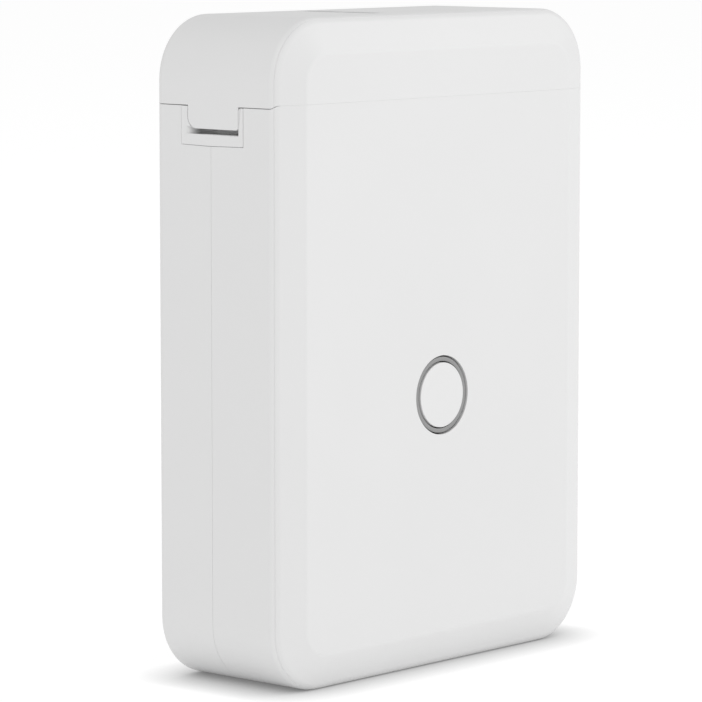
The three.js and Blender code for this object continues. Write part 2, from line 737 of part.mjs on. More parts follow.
// A charging socket: a can with round ends, open outwards, and a thin tongue in its mouth.
function usbSocket() {
  const sheet = 0.35;
  const x = [28.7, 37.2];
  const mouthX = 31;
  const outer = (usbY[1] - usbY[0]) / 2;
  const middleY = (usbY[0] + usbY[1]) / 2;
  const stadium = (radius) => {
    const shape = new THREE.Shape();
    shape.absarc(middleY, usbZ[1] - outer, radius, 0, Math.PI, false);
    shape.absarc(middleY, usbZ[0] + outer, radius, Math.PI, 2 * Math.PI, false);
    shape.closePath();
    return shape;
  };
  const can = slab(stadium(outer), x);
  const mouth = slab(stadium(outer - sheet), [mouthX, FAR]);
  const tongueY = [middleY - sheet, middleY + sheet];
  const tongueZ = [usbZ[0] + 1.4, usbZ[1] - 1.4];
  return cut(can, mouth).add(box([mouthX - 1.5, x[1] - 0.8], tongueY, tongueZ));
}

// ---------------------------------------------------------------- assembly

add(housing, "front_shell", frontShell(), whitePlastic);
add(housing, "back_shell", backShell(), whitePlastic);
add(housing, "latch_insert", latchInsert(), whitePlastic);
add(housing, "button_ring", lightRing(), greyPlastic, [0, 0, BUTTON_Z]);
add(housing, "power_button", buttonCap(), whitePlastic, [0, 0, BUTTON_Z]);
bossPlaces.forEach(([x, z], i) => {
  const place = [x, SHELL_SCREW_SEAT_Y, z];
  add(housing, `shell_screw_${i + 1}`, screw(SHELL_SCREW, SHELL_SCREW_LENGTH), steel, place);
});

const pin = rodY(pinRadius, 0, 0, [frontKnuckle[0] + 0.3, backKnuckle[1] - 0.3], 12);
add(housing, "hinge_pin", pin, steel, [HINGE_X, 0, RIM_Z]);
add(lid, "lid_shell", lidShell(), whitePlastic);
add(lid, "lid_frame", lidFrame(), blackPlastic);
add(lid, "tear_bar", tearBar(), steel);
lidScrewPlaces.forEach(([x, y], i) => {
  const place = [x, y, FLANGE_Z - GAP];
  add(lid, `lid_screw_${i + 1}`, screw(FRAME_SCREW, 2.8), steel, place, [-Math.PI / 2, 0, 0]);
});

const platen = new THREE.Group();
platen.position.set(PLATEN_X, 0, PLATEN_Z);
lid.add(platen);
const toCompound = COMPOUND_DIRECTION;
const rollerY = [LABEL_FRONT + 0.2, LABEL_BACK - 0.2];
const gearBore = SHAFT_RADIUS + 0.2;
const bush = (y) => ring(SHAFT_RADIUS + 0.25, BUSH_RADIUS, y, 16);
add(platen, "platen_roller", ring(SHAFT_RADIUS + GAP, PLATEN_RADIUS, rollerY, 32), darkRubber);
add(platen, "platen_shaft", rodY(SHAFT_RADIUS, 0, 0, [-10.2, 11.6], 16), steel);
add(platen, "platen_gear", gear(PLATEN_TEETH, toCompound, SMALL_GEAR_LAYER, gearBore), nylon);
add(platen, "platen_bush_front", bush([-7.8, -6.3]), brass);
add(platen, "platen_bush_back", bush([9.6, 11.2]), brass);

add(housing, "print_frame", printFrame(), blackPlastic);
const headY = [LABEL_FRONT + 0.1, LABEL_BACK - 0.1];
const hubRadius = 1.6;
const headFoot = HEAD_PIVOT[1] - hubRadius;
const ceramicX = [PRINT_FACE_X - 0.8, PRINT_FACE_X];
const sinkX = [ceramicX[0] - 2.2, ceramicX[0] - 0.1];
const heatSink = cut(
  join(box(sinkX, headY, [headFoot, HEAD_TOP]), rodY(hubRadius, ...HEAD_PIVOT, headY)),
  rodY(HEAD_PIVOT_RADIUS + 0.25, ...HEAD_PIVOT, [-FAR, FAR], 16),
);
add(housing, "print_head", box(ceramicX, headY, [93.2, HEAD_TOP]), ceramic);
add(housing, "head_heatsink", heatSink, aluminium);
add(housing, "head_pivot", rodY(HEAD_PIVOT_RADIUS, ...HEAD_PIVOT, [-7.8, 11.5], 16), steel);
const springX = SPRING_SEAT_X + GAP;
const springZ = 97;
const springLength = sinkX[0] - GAP - springX;
for (const [side, y] of [["front", -2.5], ["back", 5.7]]) {
  const spring = helicalSpring(1.2, 0.2, springLength, 3);
  add(housing, `head_spring_${side}`, spring, steel, [springX, y, springZ]);
}
add(housing, "motor", motorCan(), foil);
motorScrewPlaces.forEach(([x, z], i) => {
  const place = [x, FRONT_PLATE[0] - 0.2, z];
  add(housing, `motor_screw_${i + 1}`, screw(MOTOR_SCREW, 3.3), steel, place, [Math.PI, 0, 0]);
});
frameScrewPlaces.forEach(([x, z], i) => {
  const place = [x, BACK_PLATE[0] - 0.2, z];
  add(housing, `frame_screw_${i + 1}`, screw(FRAME_SCREW, 3), steel, place, [Math.PI, 0, 0]);
});
const smallTooth = facing(toCompound, SMALL_TEETH);
const largeTooth = MOTOR_DIRECTION;
const compoundPlace = [COMPOUND_X, 0, COMPOUND_Z];
add(housing, "gear_stud", rodY(STUD_RADIUS, 0, 0, [-12, -6.7], 16), steel, compoundPlace);
add(housing, "compound_gear", compoundGear(smallTooth, largeTooth), nylon, compoundPlace);
const pinionTooth = facing(MOTOR_DIRECTION, SMALL_TEETH);
const pinion = gear(SMALL_TEETH, pinionTooth, LARGE_GEAR_LAYER, STUD_RADIUS + 0.2);
const motorPlace = [MOTOR_X, 0, MOTOR_Z];
add(housing, "motor_pinion", pinion, brass, motorPlace);
add(housing, "motor_shaft", rodY(STUD_RADIUS, 0, 0, [-12, -6.5], 16), steel, motorPlace);
add(housing, "gap_sensor", box([-7.9, -6.75], [-6.2, -3], [85.5, 88.5]), chipBlack);

add(housing, "roll_bay", rollBay(), blackPlastic);
bayScrewPlaces.forEach(([x, z], i) => {
  const place = [x, LABEL_BACK + 0.4, z];
  add(housing, `bay_screw_${i + 1}`, screw(FRAME_SCREW, 3), steel, place, [Math.PI, 0, 0]);
});
const rollPlace = [BAY_X, 0, ROLL_Z];
const rollY = [LABEL_FRONT, LABEL_BACK];
add(housing, "label_roll", ring(CORE_RADIUS + 0.2, ROLL_RADIUS, rollY, 40), paper, rollPlace);
add(housing, "roll_core", ring(CORE_BORE, CORE_RADIUS, rollY, 32), cardboard, rollPlace);
add(housing, "label_web", labelWeb(), paper);

add(housing, "main_board", mainBoard(), boardGreen);
boardScrewPlaces.forEach(([x, z], i) => {
  const place = [x, BOARD[1] + 0.2, z];
  add(housing, `board_screw_${i + 1}`, screw(FRAME_SCREW, 4), steel, place);
});
const onBoard = (height) => [BOARD[0] - 0.1 - height, BOARD[0] - 0.1];
const switchHalf = 1.6;
const switchZ = [BUTTON_Z - switchHalf, BUTTON_Z + switchHalf];
const switchBody = box([-switchHalf, switchHalf], onBoard(1.5), switchZ);
const switchPin = rodY(0.8, 0, BUTTON_Z, onBoard(1.85), 12);
add(housing, "tact_switch", switchBody.add(switchPin), chipBlack);
add(housing, "bluetooth_module", box([-24, -11], onBoard(1.6), [46, 58]), foil);
add(housing, "control_chip", box([8, 16], onBoard(1.2), [24, 32]), chipBlack);
add(housing, "head_connector", box([-27.5, -21.5], [BOARD[1] + 0.1, -5.4], [57.5, 61]), nylon);
add(housing, "usb_socket", usbSocket(), steel);
add(housing, "battery", box([-22, 25], [1, 11], [5, 39]), foil);
const batteryLead = tube(
  0.6,
  [
    [-22.5, 4, 34],
    [-25.5, 3, 34.5],
    [-26.5, -1, 37],
    [-24, -4.5, 38],
    [-18, -6.2, 38],
  ],
  12,
  6,
);
add(housing, "battery_lead", batteryLead, darkRubber);
const headCable = tube(
  0.8,
  [
    [-11.4, 1.6, 92.3],
    [-15, 1.5, 92.2],
    [-21, 1.2, 92.6],
    [-25.4, 0.2, 92],
    [-27, -1.6, 88],
    [-27, -3.4, 80],
    [-26, -5, 71],
    [-24.6, -6.4, 65],
    [-24.5, -6.4, 61.5],
  ],
  26,
  6,
);
add(housing, "head_cable", headCable, amber);

export default printer;
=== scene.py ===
# The looks of the pocket label printer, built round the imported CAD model.
# Lengths are in millimetres and become metres when a mesh is made.

import json
import math
import random

import bmesh
import bpy
from mathutils import Matrix, Vector


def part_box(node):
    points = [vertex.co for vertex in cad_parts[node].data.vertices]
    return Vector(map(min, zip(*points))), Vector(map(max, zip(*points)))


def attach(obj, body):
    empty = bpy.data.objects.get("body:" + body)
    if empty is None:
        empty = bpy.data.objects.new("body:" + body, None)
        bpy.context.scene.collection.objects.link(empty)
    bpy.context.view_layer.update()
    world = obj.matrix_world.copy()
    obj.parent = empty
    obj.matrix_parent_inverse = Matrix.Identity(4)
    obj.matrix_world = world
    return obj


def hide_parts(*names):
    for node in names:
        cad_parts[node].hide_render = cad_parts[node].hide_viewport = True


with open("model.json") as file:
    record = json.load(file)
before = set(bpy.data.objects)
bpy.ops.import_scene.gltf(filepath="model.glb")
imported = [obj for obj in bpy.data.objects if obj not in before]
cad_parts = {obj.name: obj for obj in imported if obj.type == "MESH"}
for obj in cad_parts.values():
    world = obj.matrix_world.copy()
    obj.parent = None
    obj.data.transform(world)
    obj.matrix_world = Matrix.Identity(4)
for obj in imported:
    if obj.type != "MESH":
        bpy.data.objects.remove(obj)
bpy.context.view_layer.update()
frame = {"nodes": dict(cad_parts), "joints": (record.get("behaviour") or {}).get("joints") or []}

MM = 0.001
FAR = 200  # well outside the object

# ---- sizes from the frame


def spans(node):
    """The x, y and z ranges of a node."""
    low, high = (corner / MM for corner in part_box(node))
    return (low.x, high.x), (low.y, high.y), (low.z, high.z)


def middle_of(node):
    return [sum(span) / 2 for span in spans(node)]


def radius_of(node):
    (x0, x1), _, _ = spans(node)
    return (x1 - x0) / 2


joints = {joint["name"]: joint for joint in frame["joints"]}


def joint_xz(name):
    x, _, z = joints[name]["pos_m"]
    return x / MM, z / MM


HALF_WIDTH, HALF_DEPTH, HEIGHT = (span[1] for span in spans("lid_shell"))
HINGE_X, RIM_Z = joint_xz("lid_hinge")
PLATEN_X, PLATEN_Z = joint_xz("platen_spin")
COMPOUND_X, COMPOUND_Z = joint_xz("compound_gear_spin")
MOTOR_X, MOTOR_Z = joint_xz("motor_spin")
ROLL_X, ROLL_Z = joint_xz("roll_spin")

CORNER_RADIUS = 10.1
EDGE_RADIUS = 1.6
GROOVE_DEPTH = 0.07  # of the fine line along the middle of the fillet
BEVEL_WIDTH = 5.6
BEVEL_ANGLE = math.radians(17)
CREASE_RADIUS = 2.0
WALL = 1.8
FACE_WALL = 2.0
INNER_X = HALF_WIDTH - WALL
INNER_Y = HALF_DEPTH - FACE_WALL
SPLIT_Y = 0.82
STEP_RISE = 0.52  # the parting line climbs this much from the side walls to the faces
STEP_FROM = 11.5
STEP_TO = 12.8
SIDE_GAP = 0.09
FACE_GAP = 0.01
SPLIT_GAP = 0.035
TURN_GAP = 0.15  # round a knuckle and between two bosses that meet
SOFT_EDGE = 0.08
FINE_EDGE = 0.12  # share of the soft edge where two pieces meet almost without a gap
MOULDED_EDGE = 0.12  # on the black frames inside
CORNER_STEPS = 16
ROOT = 0.5  # how far a boss reaches into the wall behind it
SCREW_HOLE = 0.75

BUTTON_Z = middle_of("power_button")[2]
BUTTON_RADIUS = 5.22
RING_RADIUS = 6.12
RING_FACE = -13.85
RING_GAP = 0.25  # round the ring
CAP_GAP = 0.2  # between the ring and the button cap

# ---- mesh tools


def new_object(data):
    item = bpy.data.objects.new(data.name, data)
    bpy.context.scene.collection.objects.link(item)
    return item


def make_piece(name, vertices, faces):
    mesh = bpy.data.meshes.new(name)
    mesh.from_pydata([Vector(v) * MM for v in vertices], [], faces)
    mesh.validate()
    piece = new_object(mesh)
    piece.name = name
    return piece


def apply_modifiers(piece):
    bpy.context.view_layer.objects.active = piece
    for modifier in list(piece.modifiers):
        bpy.ops.object.modifier_apply(modifier=modifier.name)


def carve(piece, operation, *tools):
    for tool in tools:
        modifier = piece.modifiers.new("carve", "BOOLEAN")
        modifier.operation = operation
        modifier.solver = "EXACT"
        modifier.object = tool
        apply_modifiers(piece)
        bpy.data.objects.remove(tool)
    return piece


def cut(piece, *tools):
    return carve(piece, "DIFFERENCE", *tools)


def join(piece, *tools):
    return carve(piece, "UNION", *tools)


def keep(piece, *tools):
    return carve(piece, "INTERSECT", *tools)


def merged(name, pieces):
    """Several closed bodies as one piece."""
    mesh = bmesh.new()
    for piece in pieces:
        mesh.from_mesh(piece.data)
        bpy.data.objects.remove(piece)
    whole = make_piece(name, [], [])
    mesh.to_mesh(whole.data)
    mesh.free()
    return whole


def face_out(piece):
    bpy.context.view_layer.objects.active = piece
    piece.select_set(True)
    bpy.ops.object.mode_set(mode="EDIT")
    bpy.ops.mesh.select_all(action="SELECT")
    bpy.ops.mesh.normals_make_consistent(inside=False)
    bpy.ops.object.mode_set(mode="OBJECT")
    piece.select_set(False)
    return piece


def smoothed(piece, sharp_from=30):
    """Smooth shading, but for edges sharper than an angle in degrees."""
    piece.data.shade_smooth()
    piece.data.set_sharp_from_angle(angle=math.radians(sharp_from))
    return piece


def loft(name, loops, ring=False):
    """A body through loops of points that all run the same way round: with two ends, or a ring."""
    count = len(loops[0])
    faces = [] if ring else [tuple(reversed(range(count)))]
    for i in range(len(loops) if ring else len(loops) - 1):
        here = i * count
        after = (i + 1) % len(loops) * count
        for k in range(count):
            n = (k + 1) % count
            faces.append((here + k, here + n, after + n, after + k))
    if not ring:
        last = (len(loops) - 1) * count
        faces.append(tuple(range(last, last + count)))
    return make_piece(name, [point for loop in loops for point in loop], faces)


AXES = {
    "x": lambda u, v, along: (along, u, v),
    "y": lambda u, v, along: (v, along, u),
    "z": lambda u, v, along: (u, v, along),
}


def signed_area(profile):
    pairs = zip(profile, profile[1:] + profile[:1])
    return sum(a[0] * b[1] - b[0] * a[1] for a, b in pairs) / 2


def prism(name, profile, axis, start, end):
    """A profile of (u, v) points pulled out along an axis. (u, v) is (y, z), (z, x) or (x, y)."""
    if signed_area(profile) < 0:
        profile = profile[::-1]
    place = AXES[axis]
    return loft(name, [[place(u, v, along) for u, v in profile] for along in (start, end)])


def block(name, x, y, z):
    profile = [(x[0], y[0]), (x[1], y[0]), (x[1], y[1]), (x[0], y[1])]
    return prism(name, profile, "z", *z)


def rounded(name, x, y, z, radius, axis="y", steps=5):
    """A block whose corners, seen along an axis, are round."""
    ranges = {"x": (y, z, x), "y": (z, x, y), "z": (x, y, z)}
    u, v, along = ranges[axis]
    corners = [
        (u[1] - radius, v[1] - radius, 0),
        (u[0] + radius, v[1] - radius, 90),
        (u[0] + radius, v[0] + radius, 180),
        (u[1] - radius, v[0] + radius, 270),
    ]
    rounds = [arc((cu, cv), radius, start, start + 90, steps) for cu, cv, start in corners]
    return prism(name, sum(rounds, []), axis, *along)


def circle(radius, steps, centre=(0, 0), start=0.0):
    angles = [start + 2 * math.pi * i / steps for i in range(steps)]
    return [(centre[0] + radius * math.cos(a), centre[1] + radius * math.sin(a)) for a in angles]


def arc(centre, radius, start, end, steps):
    """Points along an arc, from a start to an end in degrees."""
    angles = [math.radians(start + (end - start) * i / steps) for i in range(steps + 1)]
    return [(centre[0] + radius * math.cos(a), centre[1] + radius * math.sin(a)) for a in angles]


def stadium(middle, ends, radius, steps):
    """An upright slot outline as (y, z): two half circles whose centres are at two heights."""
    points = arc((middle, ends[1]), radius, 0, 180, steps)
    return points + arc((middle, ends[0]), radius, 180, 360, steps)


def rod(radius, x, z, start=-FAR, end=FAR, steps=24):
    """A round rod along Y."""
    return prism("rod", circle(radius, steps, (z, x)), "y", start, end)


def turned(name, profile, x, z, steps=64):
    """A closed profile of (radius, y) points turned round an axis along Y. A radius of 0 is a tip."""
    vertices = []
    rows = []
    for radius, y in profile:
        if radius == 0:
            rows.append([len(vertices)] * steps)
            vertices.append((x, y, z))
            continue
        rows.append(list(range(len(vertices), len(vertices) + steps)))
        vertices += [(x + u, y, z + v) for u, v in circle(radius, steps)]
    faces = []
    closed = rows + [rows[0]] if profile[0][0] > 0 else rows
    for lower, upper in zip(closed, closed[1:]):
        for k in range(steps):
            n = (k + 1) % steps
            corners = list(dict.fromkeys((lower[k], lower[n], upper[n], upper[k])))
            if len(corners) > 2:
                faces.append(corners)
    return face_out(make_piece(name, vertices, faces))


def square_ring(radii, y, x, z, steps=48):
    """A ring of rectangular section, for a round recess or rib."""
    profile = [(radii[0], y[0]), (radii[1], y[0]), (radii[1], y[1]), (radii[0], y[1])]
    return turned("square_ring", profile, x, z, steps)


def tube_section(inner, outer, y, inner_edge, outer_edge):
    """The section of a straight tube as (radius, y) points, with chamfered edges."""
    return [
        (inner, y[0] + inner_edge),
        (inner + inner_edge, y[0]),
        (outer - outer_edge, y[0]),
        (outer, y[0] + outer_edge),
        (outer, y[1] - outer_edge),
        (outer - outer_edge, y[1]),
        (inner + inner_edge, y[1]),
        (inner, y[1] - inner_edge),
    ]


def heading(path, i):
    """The direction of a path at one of its points."""
    return (path[min(i + 1, len(path) - 1)] - path[max(i - 1, 0)]).normalized()


def wire(name, points, radius, sides=10):
    """A round wire through points, with flat ends."""
    path = [Vector(p) for p in points]
    turn = [2 * math.pi * k / sides for k in range(sides)]
    loops = []
    normal = heading(path, 0).orthogonal()
    for i, point in enumerate(path):
        ahead = heading(path, i)
        normal = (normal - ahead * normal.dot(ahead)).normalized()
        side = ahead.cross(normal)
        loops.append([point + (normal * math.cos(a) + side * math.sin(a)) * radius for a in turn])
    return loft(name, loops)


def everywhere(middle):
    return 1.0


def soften(piece, width, segments=2, weight=everywhere):
    """Rounds the edges sharper than 40 degrees. An edge of weight 0 stays sharp."""
    mesh = bmesh.new()
    mesh.from_mesh(piece.data)
    layer = mesh.edges.layers.float.new("bevel_weight_edge")
    for edge in mesh.edges:
        if edge.is_manifold and edge.calc_face_angle() > math.radians(40):
            edge[layer] = weight((edge.verts[0].co + edge.verts[1].co) / (2 * MM))
            edge.smooth = edge[layer] > 0
    mesh.to_mesh(piece.data)
    mesh.free()
    bevel = piece.modifiers.new("soft_edges", "BEVEL")
    bevel.width = width * MM
    bevel.segments = segments
    bevel.limit_method = "WEIGHT"
    bevel.use_clamp_overlap = False
    piece.data.shade_smooth()
    weighted = piece.modifiers.new("even_shading", "WEIGHTED_NORMAL")
    weighted.keep_sharp = True
    return piece


# ---- materials


def set_inputs(tree, node, values):
    """Gives a node its inputs: a socket is linked, and anything else is the input's value."""
    for name, value in values.items():
        if isinstance(value, bpy.types.NodeSocket):
            tree.links.new(value, node.inputs[name])
        else:
            node.inputs[name].default_value = value
    return node


def add_node(tree, kind, values):
    return set_inputs(tree, tree.nodes.new("ShaderNode" + kind), values)


def new_material(name, color, roughness, metallic=0.0):
    material = bpy.data.materials.new(name)
    material.use_nodes = True
    tree = material.node_tree
    shader = tree.nodes["Principled BSDF"]
    set_inputs(tree, shader, {"Base Color": (*color, 1), "Roughness": roughness, "Metallic": metallic})
    return material, tree, shader


def object_place(tree):
    return tree.nodes.new("ShaderNodeTexCoord").outputs["Object"]


def noise(tree, scale, detail, stretch=(1, 1, 1)):
    """Noise in object space; scale counts features per millimetre."""
    factors = [scale / MM * s for s in stretch]
    mapping = add_node(tree, "Mapping", {"Vector": object_place(tree), "Scale": factors})
    values = {"Vector": mapping.outputs["Vector"], "Scale": 1.0, "Detail": detail}
    return add_node(tree, "TexNoise", values).outputs["Fac"]


def ramp(tree, source, colors):
    """Colours by position along a ramp."""
    node = add_node(tree, "ValToRGB", {"Fac": source})
    elements = node.color_ramp.elements
    while len(elements) < len(colors):
        elements.new(0.5)
    for element, (position, color) in zip(elements, colors.items()):
        element.position = position
        element.color = (*color, 1)
    return node.outputs["Color"]


def spread(tree, source, to, start=(0, 1)):
    """Maps a range of values onto another."""
    ends = {"From Min": start[0], "From Max": start[1], "To Min": to[0], "To Max": to[1]}
    return add_node(tree, "MapRange", {"Value": source, **ends}).outputs["Result"]


def bump(tree, source, height):
    values = {"Height": source, "Strength": 1.0, "Distance": height * MM}
    return add_node(tree, "Bump", values).outputs["Normal"]


def grained(name, color, roughness, metallic, scale, height, shade, stretch):
    """A moulded, cast or machined surface: fine grain, with small changes of tone and gloss."""
    material, tree, shader = new_material(name, color, roughness, metallic)
    grain = noise(tree, scale, 3.0, stretch)
    low = [max(c * (1 - shade), 0) for c in color]
    high = [min(c * (1 + shade), 1) for c in color]
    values = {
        "Base Color": ramp(tree, noise(tree, 0.05, 2.0), {0.3: low, 0.7: high}),
        "Roughness": spread(tree, grain, (roughness * 0.88, roughness * 1.12)),
        "Normal": bump(tree, grain, height),
    }
    set_inputs(tree, shader, values)
    return material


CASE_WHITE = (0.72, 0.72, 0.72)
EVEN = (1, 1, 1)
DRAWN = (1, 0.1, 1)  # grain drawn out along Y

# slot: colour, roughness, metalness, grains per millimetre, grain height, change of tone, stretch
FINISHES = {
    "white_plastic": (CASE_WHITE, 0.46, 0, 3.0, 0.003, 0.006, EVEN),
    "button_plastic": ((0.73, 0.73, 0.73), 0.42, 0, 4.0, 0.002, 0.006, EVEN),
    "ring_plastic": ((0.27, 0.27, 0.27), 0.35, 0, 2.0, 0.004, 0.05, EVEN),
    "black_plastic": ((0.03, 0.031, 0.034), 0.5, 0, 3.0, 0.015, 0.15, EVEN),
    "bay_plastic": ((0.045, 0.046, 0.05), 0.55, 0, 2.5, 0.02, 0.15, EVEN),
    "steel": ((0.56, 0.57, 0.58), 0.28, 1, 6.0, 0.004, 0.06, DRAWN),
    "aluminium": ((0.66, 0.67, 0.68), 0.38, 1, 5.0, 0.006, 0.05, (1, 1, 0.1)),
    "brass": ((0.62, 0.46, 0.2), 0.3, 1, 8.0, 0.004, 0.08, DRAWN),
    "gear_nylon": ((0.76, 0.73, 0.65), 0.45, 0, 2.0, 0.01, 0.03, EVEN),
    "platen_rubber": ((0.022, 0.022, 0.023), 0.75, 0, 9.0, 0.012, 0.2, EVEN),
    "head_ceramic": ((0.62, 0.58, 0.5), 0.35, 0, 5.0, 0.004, 0.05, EVEN),
    "motor_can": ((0.5, 0.51, 0.53), 0.33, 1, 5.0, 0.006, 0.06, (1, 0.08, 1)),
    "core_board": ((0.36, 0.24, 0.14), 0.9, 0, 1.2, 0.05, 0.2, (1, 0.3, 1)),
    "circuit_board": ((0.02, 0.11, 0.05), 0.35, 0, 0.7, 0.02, 0.3, EVEN),
    "chip_plastic": ((0.015, 0.015, 0.017), 0.5, 0, 6.0, 0.01, 0.2, EVEN),
    "connector_nylon": ((0.7, 0.67, 0.58), 0.5, 0, 3.0, 0.01, 0.04, EVEN),
    "battery_foil": ((0.42, 0.44, 0.47), 0.38, 0.8, 0.5, 0.06, 0.08, EVEN),
    "lead_sleeve": ((0.03, 0.03, 0.03), 0.5, 0, 3.0, 0.01, 0.2, EVEN),
    "cable_film": ((0.44, 0.17, 0.03), 0.35, 0, 2.0, 0.01, 0.15, EVEN),
    "label_paper": ((0.86, 0.85, 0.81), 0.8, 0, 4.0, 0.012, 0.02, EVEN),
}
materials = {slot: grained(slot, *finish) for slot, finish in FINISHES.items()}


def finish_piece(piece, slot, body, *nodes, material=None):
    piece.data.materials.clear()
    piece.data.materials.append(material or materials[slot])
    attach(piece, body)
    if nodes:
        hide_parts(*nodes)


# ---- case outline


def outline(inset, steps=CORNER_STEPS):
    """The case outline from the front as (z, x) points, drawn inwards by an inset."""
    radius = CORNER_RADIUS - inset
    far_x = HALF_WIDTH - CORNER_RADIUS
    corners = [
        (CORNER_RADIUS, far_x, 90, 6),
        (CORNER_RADIUS, -far_x, 180, 12),
        (HEIGHT - CORNER_RADIUS, -far_x, 270, 6),
        (HEIGHT - CORNER_RADIUS, far_x, 360, 12),
    ]
    rounds = [arc((z, x), radius, start, start + 90, steps) for z, x, start, _ in corners]
    points = []
    for i, (_, _, _, splits) in enumerate(corners):
        points += rounds[i]
        end = Vector(rounds[i][-1])
        after = Vector(rounds[(i + 1) % 4][0])
        points += [tuple(end.lerp(after, k / splits)) for k in range(1, splits)]
    return points


def stacked(name, rings, steps=CORNER_STEPS):
    loops = [[(x, y, z) for z, x in outline(inset, steps)] for inset, y in rings]
    return loft(name, loops)


FILLET_TURN = math.pi / 2 - BEVEL_ANGLE
FILLET_CENTRE = (BEVEL_WIDTH - EDGE_RADIUS) * math.tan(BEVEL_ANGLE) + EDGE_RADIUS / math.cos(BEVEL_ANGLE)
FILLET_STEPS = (0, 1, 2, 3, 3.7, 4, 4.3, 5, 6, 7, 8)
GROOVE_STEP = 4
GROOVE_Y = HALF_DEPTH - FILLET_CENTRE + EDGE_RADIUS * math.sin(FILLET_TURN / 2)


def edge_rings():
    """(inset, depth below the face) of the rounded crease, the bevel and the fillet."""
    tangent = CREASE_RADIUS * math.tan(BEVEL_ANGLE / 2)
    rings = []
    for i in range(4):
        angle = BEVEL_ANGLE * i / 3
        inset = BEVEL_WIDTH + tangent - CREASE_RADIUS * math.sin(angle)
        rings.append((inset, CREASE_RADIUS * (1 - math.cos(angle))))
    for step in FILLET_STEPS:
        angle = FILLET_TURN * (1 - step / FILLET_STEPS[-1])
        radius = EDGE_RADIUS - (GROOVE_DEPTH if step == GROOVE_STEP else 0)
        rings.append((EDGE_RADIUS - radius * math.cos(angle), FILLET_CENTRE - radius * math.sin(angle)))
    return rings


def hull(name):
    front = [(inset, depth - HALF_DEPTH) for inset, depth in edge_rings()]
    back = [(inset, -y) for inset, y in reversed(front)]
    return stacked(name, front + back)


def cavity():
    drop = 1.0
    inset = BEVEL_WIDTH + 0.2
    rings = [(inset, -INNER_Y), (WALL, drop - INNER_Y), (WALL, INNER_Y - drop), (inset, INNER_Y)]
    return stacked("cavity", rings, 10)


def seam(side, steps=8):
    """The parting line as (y, z) points from front to back, moved up or down by half the gap."""
    points = []
    for i in range(steps + 1):
        t = i / steps
        y = STEP_TO + (STEP_FROM - STEP_TO) * t
        rise = t * t * (3 - 2 * t)
        gap = FACE_GAP + (SIDE_GAP - FACE_GAP) * min(1, 3 * t)
        points.append((-y, RIM_Z + STEP_RISE * (1 - rise) + side * gap / 2))
    front = [(-FAR, points[0][1])] + points
    return front + [(-y, z) for y, z in reversed(front)]


def beyond_seam(side):
    """All that is above (1) or below (-1) the parting line."""
    return prism("beyond_seam", seam(side) + [(FAR, side * FAR), (-FAR, side * FAR)], "x", -FAR, FAR)


def beyond_split(side):
    """All that is behind (1) or in front of (-1) the line between front and back shell."""
    y = (SPLIT_Y + side * SPLIT_GAP / 2, side * FAR)
    return block("beyond_split", (-FAR, FAR), sorted(y), (-FAR, FAR))


def case_edge(middle):
    """No rounding on the faces' parting line and in the groove, little on the split line."""
    on_face_seam = abs(middle.y) > STEP_FROM and -0.1 < middle.z - RIM_Z < STEP_RISE + 0.1
    on_split = abs(middle.y - SPLIT_Y) < 0.05
    from_button = math.hypot(middle.x, middle.z - BUTTON_Z)
    round_button = middle.y < -HALF_DEPTH + 0.1 and from_button < RING_RADIUS + 0.5
    in_groove = abs(abs(middle.y) - GROOVE_Y) < 0.12
    if on_face_seam or in_groove:
        return 0.0
    return FINE_EDGE if on_split or round_button else 1.0


# ---- hinge

KNUCKLE_RADIUS = HALF_WIDTH - HINGE_X
LID_KNUCKLE = (SPLIT_Y - 6, SPLIT_Y + 6)
FRONT_KNUCKLE = (SPLIT_Y - 9.8, SPLIT_Y - 6.15)
BACK_KNUCKLE = (SPLIT_Y + 6.15, SPLIT_Y + 9.8)
HINGE_SLOPE = math.tan(math.radians(47.5))  # of the two faces that meet at the hinge line


def hinge_groove():
    reach = 4
    profile = [
        (RIM_Z, HINGE_X),
        (RIM_Z - reach * HINGE_SLOPE, HINGE_X + reach),
        (RIM_Z + reach * HINGE_SLOPE, HINGE_X + reach),
    ]
    return prism("groove", profile, "y", -FAR, FAR)


def barrel(span, extra=0.0):
    return rod(KNUCKLE_RADIUS + extra, HINGE_X, RIM_Z, span[0] - extra, span[1] + extra, 40)


def pin_bore():
    return rod(0.42, HINGE_X, RIM_Z, FRONT_KNUCKLE[0] - 0.3, BACK_KNUCKLE[1] + 0.3)


# ---- latch

TAB_Y = (-4.9, 5.75)
TAB_Z = 87.7
INSERT_Y = (-5.95, 7.1)
INSERT_Z = 85.2
INSERT_TOP = 91.15
SLOT_Z = 86.83
INSERT_GAP = 0.05
TAB_GAP = 0.09
INSERT_IN_X = -INNER_X + 1.7
SCOOP_X = -INNER_X + 0.7
RAMP_LENGTH = 3.7
CATCH_Y = (-3, 4)  # the insert's catch and the tab's hook
SLOT_BACK = TAB_Y[1] + 0.3
SHADE_SHEET_DEPTH = 0.05  # the painted-shade sheet in the slot stands this far into the insert, and a little more out of it
SLOT_PAINTED_SHADE = {0.02: 0.72, 0.18: 0.2, 0.42: 0.6}  # painted shade along the slot: tone by the share of the slot's length from its ramp end


def u_shape(y, z, top, radii):
    """A tab outline as (y, z): straight sides and two round bottom corners."""
    front, back = radii
    left = arc((y[0] + front, z + front), front, 180, 270, 8)
    right = arc((y[1] - back, z + back), back, 270, 360, 12)
    return [(y[0], top)] + left + right + [(y[1], top)]


def tab_profile(grow, top):
    y = (TAB_Y[0] - grow, TAB_Y[1] + grow)
    return u_shape(y, TAB_Z - grow, top, (0.55 + grow, 1.8 + grow))


